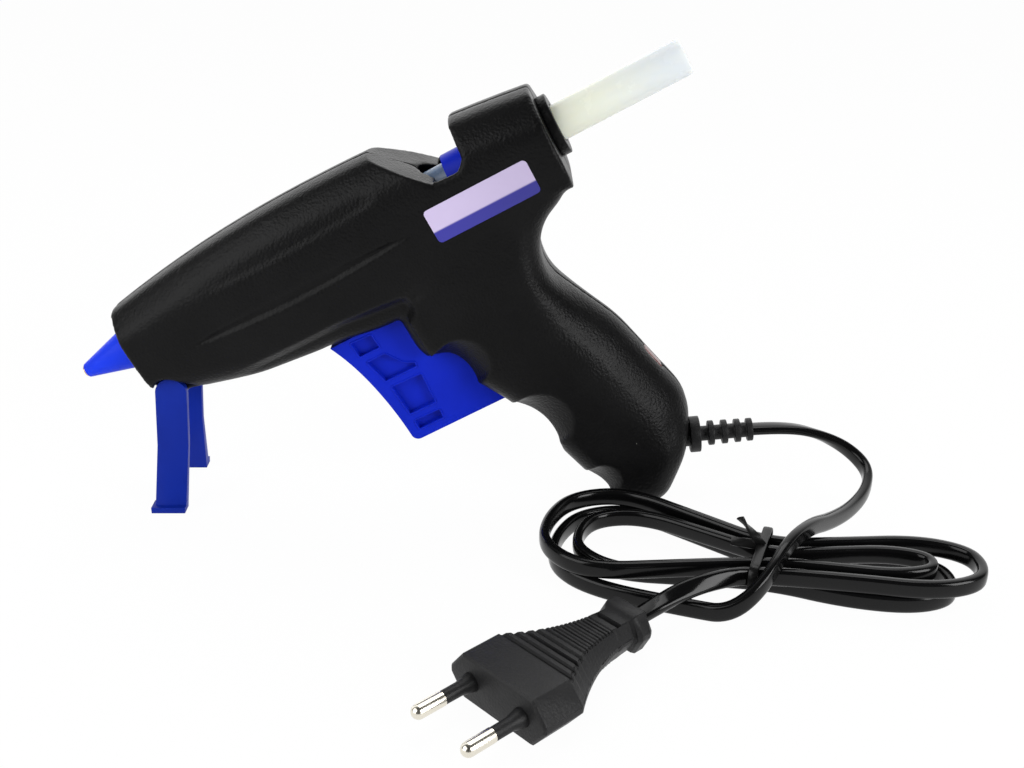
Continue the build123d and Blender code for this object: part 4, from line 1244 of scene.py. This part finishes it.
def light_world(scene):
    """A white surround for the camera, brighter behind the gun than in front for everything else."""
    world = bpy.data.worlds.new("Studio")
    world.use_nodes = True
    tree = world.node_tree
    split = add_node(tree, "SeparateXYZ", {"Vector": add_node(tree, "TexCoord").outputs["Generated"]})
    limits = {"From Min": WORLD_DEPTH[0], "From Max": WORLD_DEPTH[1], "To Min": WORLD_LIGHT[0],
              "To Max": WORLD_LIGHT[1]}
    depth = add_node(tree, "MapRange", {"Value": split.outputs["Y"], **limits},
                     interpolation_type="SMOOTHSTEP")
    seen = add_node(tree, "LightPath").outputs["Is Camera Ray"]
    background = tree.nodes["Background"]
    background.inputs["Color"].default_value = WHITE
    feed(tree, background.inputs["Strength"], math_node(tree, "MAXIMUM", seen, depth.outputs["Result"]))
    scene.world = world


def add_lamp(name, power):
    """A softbox that looks at the gun."""
    place, width, height = LAMPS[name]
    lamp = bpy.data.lights.new(name, "AREA")
    lamp.energy = power
    lamp.shape = "RECTANGLE"
    lamp.size = width
    lamp.size_y = height
    holder = new_object(name, lamp)
    holder.location = place
    holder.rotation_euler = (LAMP_TARGET - Vector(place)).to_track_quat("-Z", "Y").to_euler()


def add_camera(scene, lens):
    """The camera in front of the near flank, looking down a little."""
    camera = bpy.data.cameras.new("camera")
    camera.lens = lens
    camera.sensor_width = SENSOR_WIDTH
    camera.clip_start = 0.01
    holder = new_object("camera", camera)
    holder.location = CAMERA_PLACE
    holder.rotation_euler = (CAMERA_PITCH, 0.0, 0.0)
    scene.camera = holder


class GLUEGUN_OT_stage(Operator):
    """Sets up the floor, the lamps and the camera"""
    bl_idname = "glue_gun.stage"
    bl_label = "Stage"

    def execute(self, context):
        scene = context.scene
        look = scene.glue_gun.stage
        scene.view_settings.view_transform = "Standard"
        add_floor()
        light_world(scene)
        for name in LAMPS:
            add_lamp(name, getattr(look, name + "_power"))
        add_camera(scene, look.lens)
        return {"FINISHED"}


class GLUEGUN_PT_panel(Panel):
    """Lists the pieces and their values"""
    bl_idname = "GLUEGUN_PT_panel"
    bl_label = "Glue gun"
    bl_space_type = "VIEW_3D"
    bl_region_type = "UI"
    bl_category = "Glue gun"

    def draw(self, context):
        settings = context.scene.glue_gun
        for group in (settings.casing, settings.cord, settings.colours, settings.stage):
            box = self.layout.box()
            for name in group.__annotations__:
                box.prop(group, name)
        for operator in OPERATORS:
            self.layout.operator(operator.bl_idname)


OPERATORS = (GLUEGUN_OT_casing, GLUEGUN_OT_label, GLUEGUN_OT_nozzle_boot, GLUEGUN_OT_glue_stick,
             GLUEGUN_OT_moving_plastic, GLUEGUN_OT_indicator, GLUEGUN_OT_strain_relief, GLUEGUN_OT_twist_tie,
             GLUEGUN_OT_plug, GLUEGUN_OT_cord, GLUEGUN_OT_inner_parts, GLUEGUN_OT_stage)
CLASSES = (CasingShape, CordShape, Colours, StageLook, GlueGunSettings, *OPERATORS, GLUEGUN_PT_panel)


def register():
    for cls in CLASSES:
        bpy.utils.register_class(cls)
    bpy.types.Scene.glue_gun = PointerProperty(type=GlueGunSettings)


def unregister():
    del bpy.types.Scene.glue_gun
    for cls in reversed(CLASSES):
        bpy.utils.unregister_class(cls)


def main():
    register()
    bpy.ops.glue_gun.casing()
    bpy.ops.glue_gun.label()
    bpy.ops.glue_gun.nozzle_boot()
    bpy.ops.glue_gun.glue_stick()
    bpy.ops.glue_gun.moving_plastic()
    bpy.ops.glue_gun.indicator()
    bpy.ops.glue_gun.strain_relief()
    bpy.ops.glue_gun.twist_tie()
    bpy.ops.glue_gun.plug()
    bpy.ops.glue_gun.cord()
    bpy.ops.glue_gun.inner_parts()
    bpy.ops.glue_gun.stage()


if __name__ == "__main__":
    main()
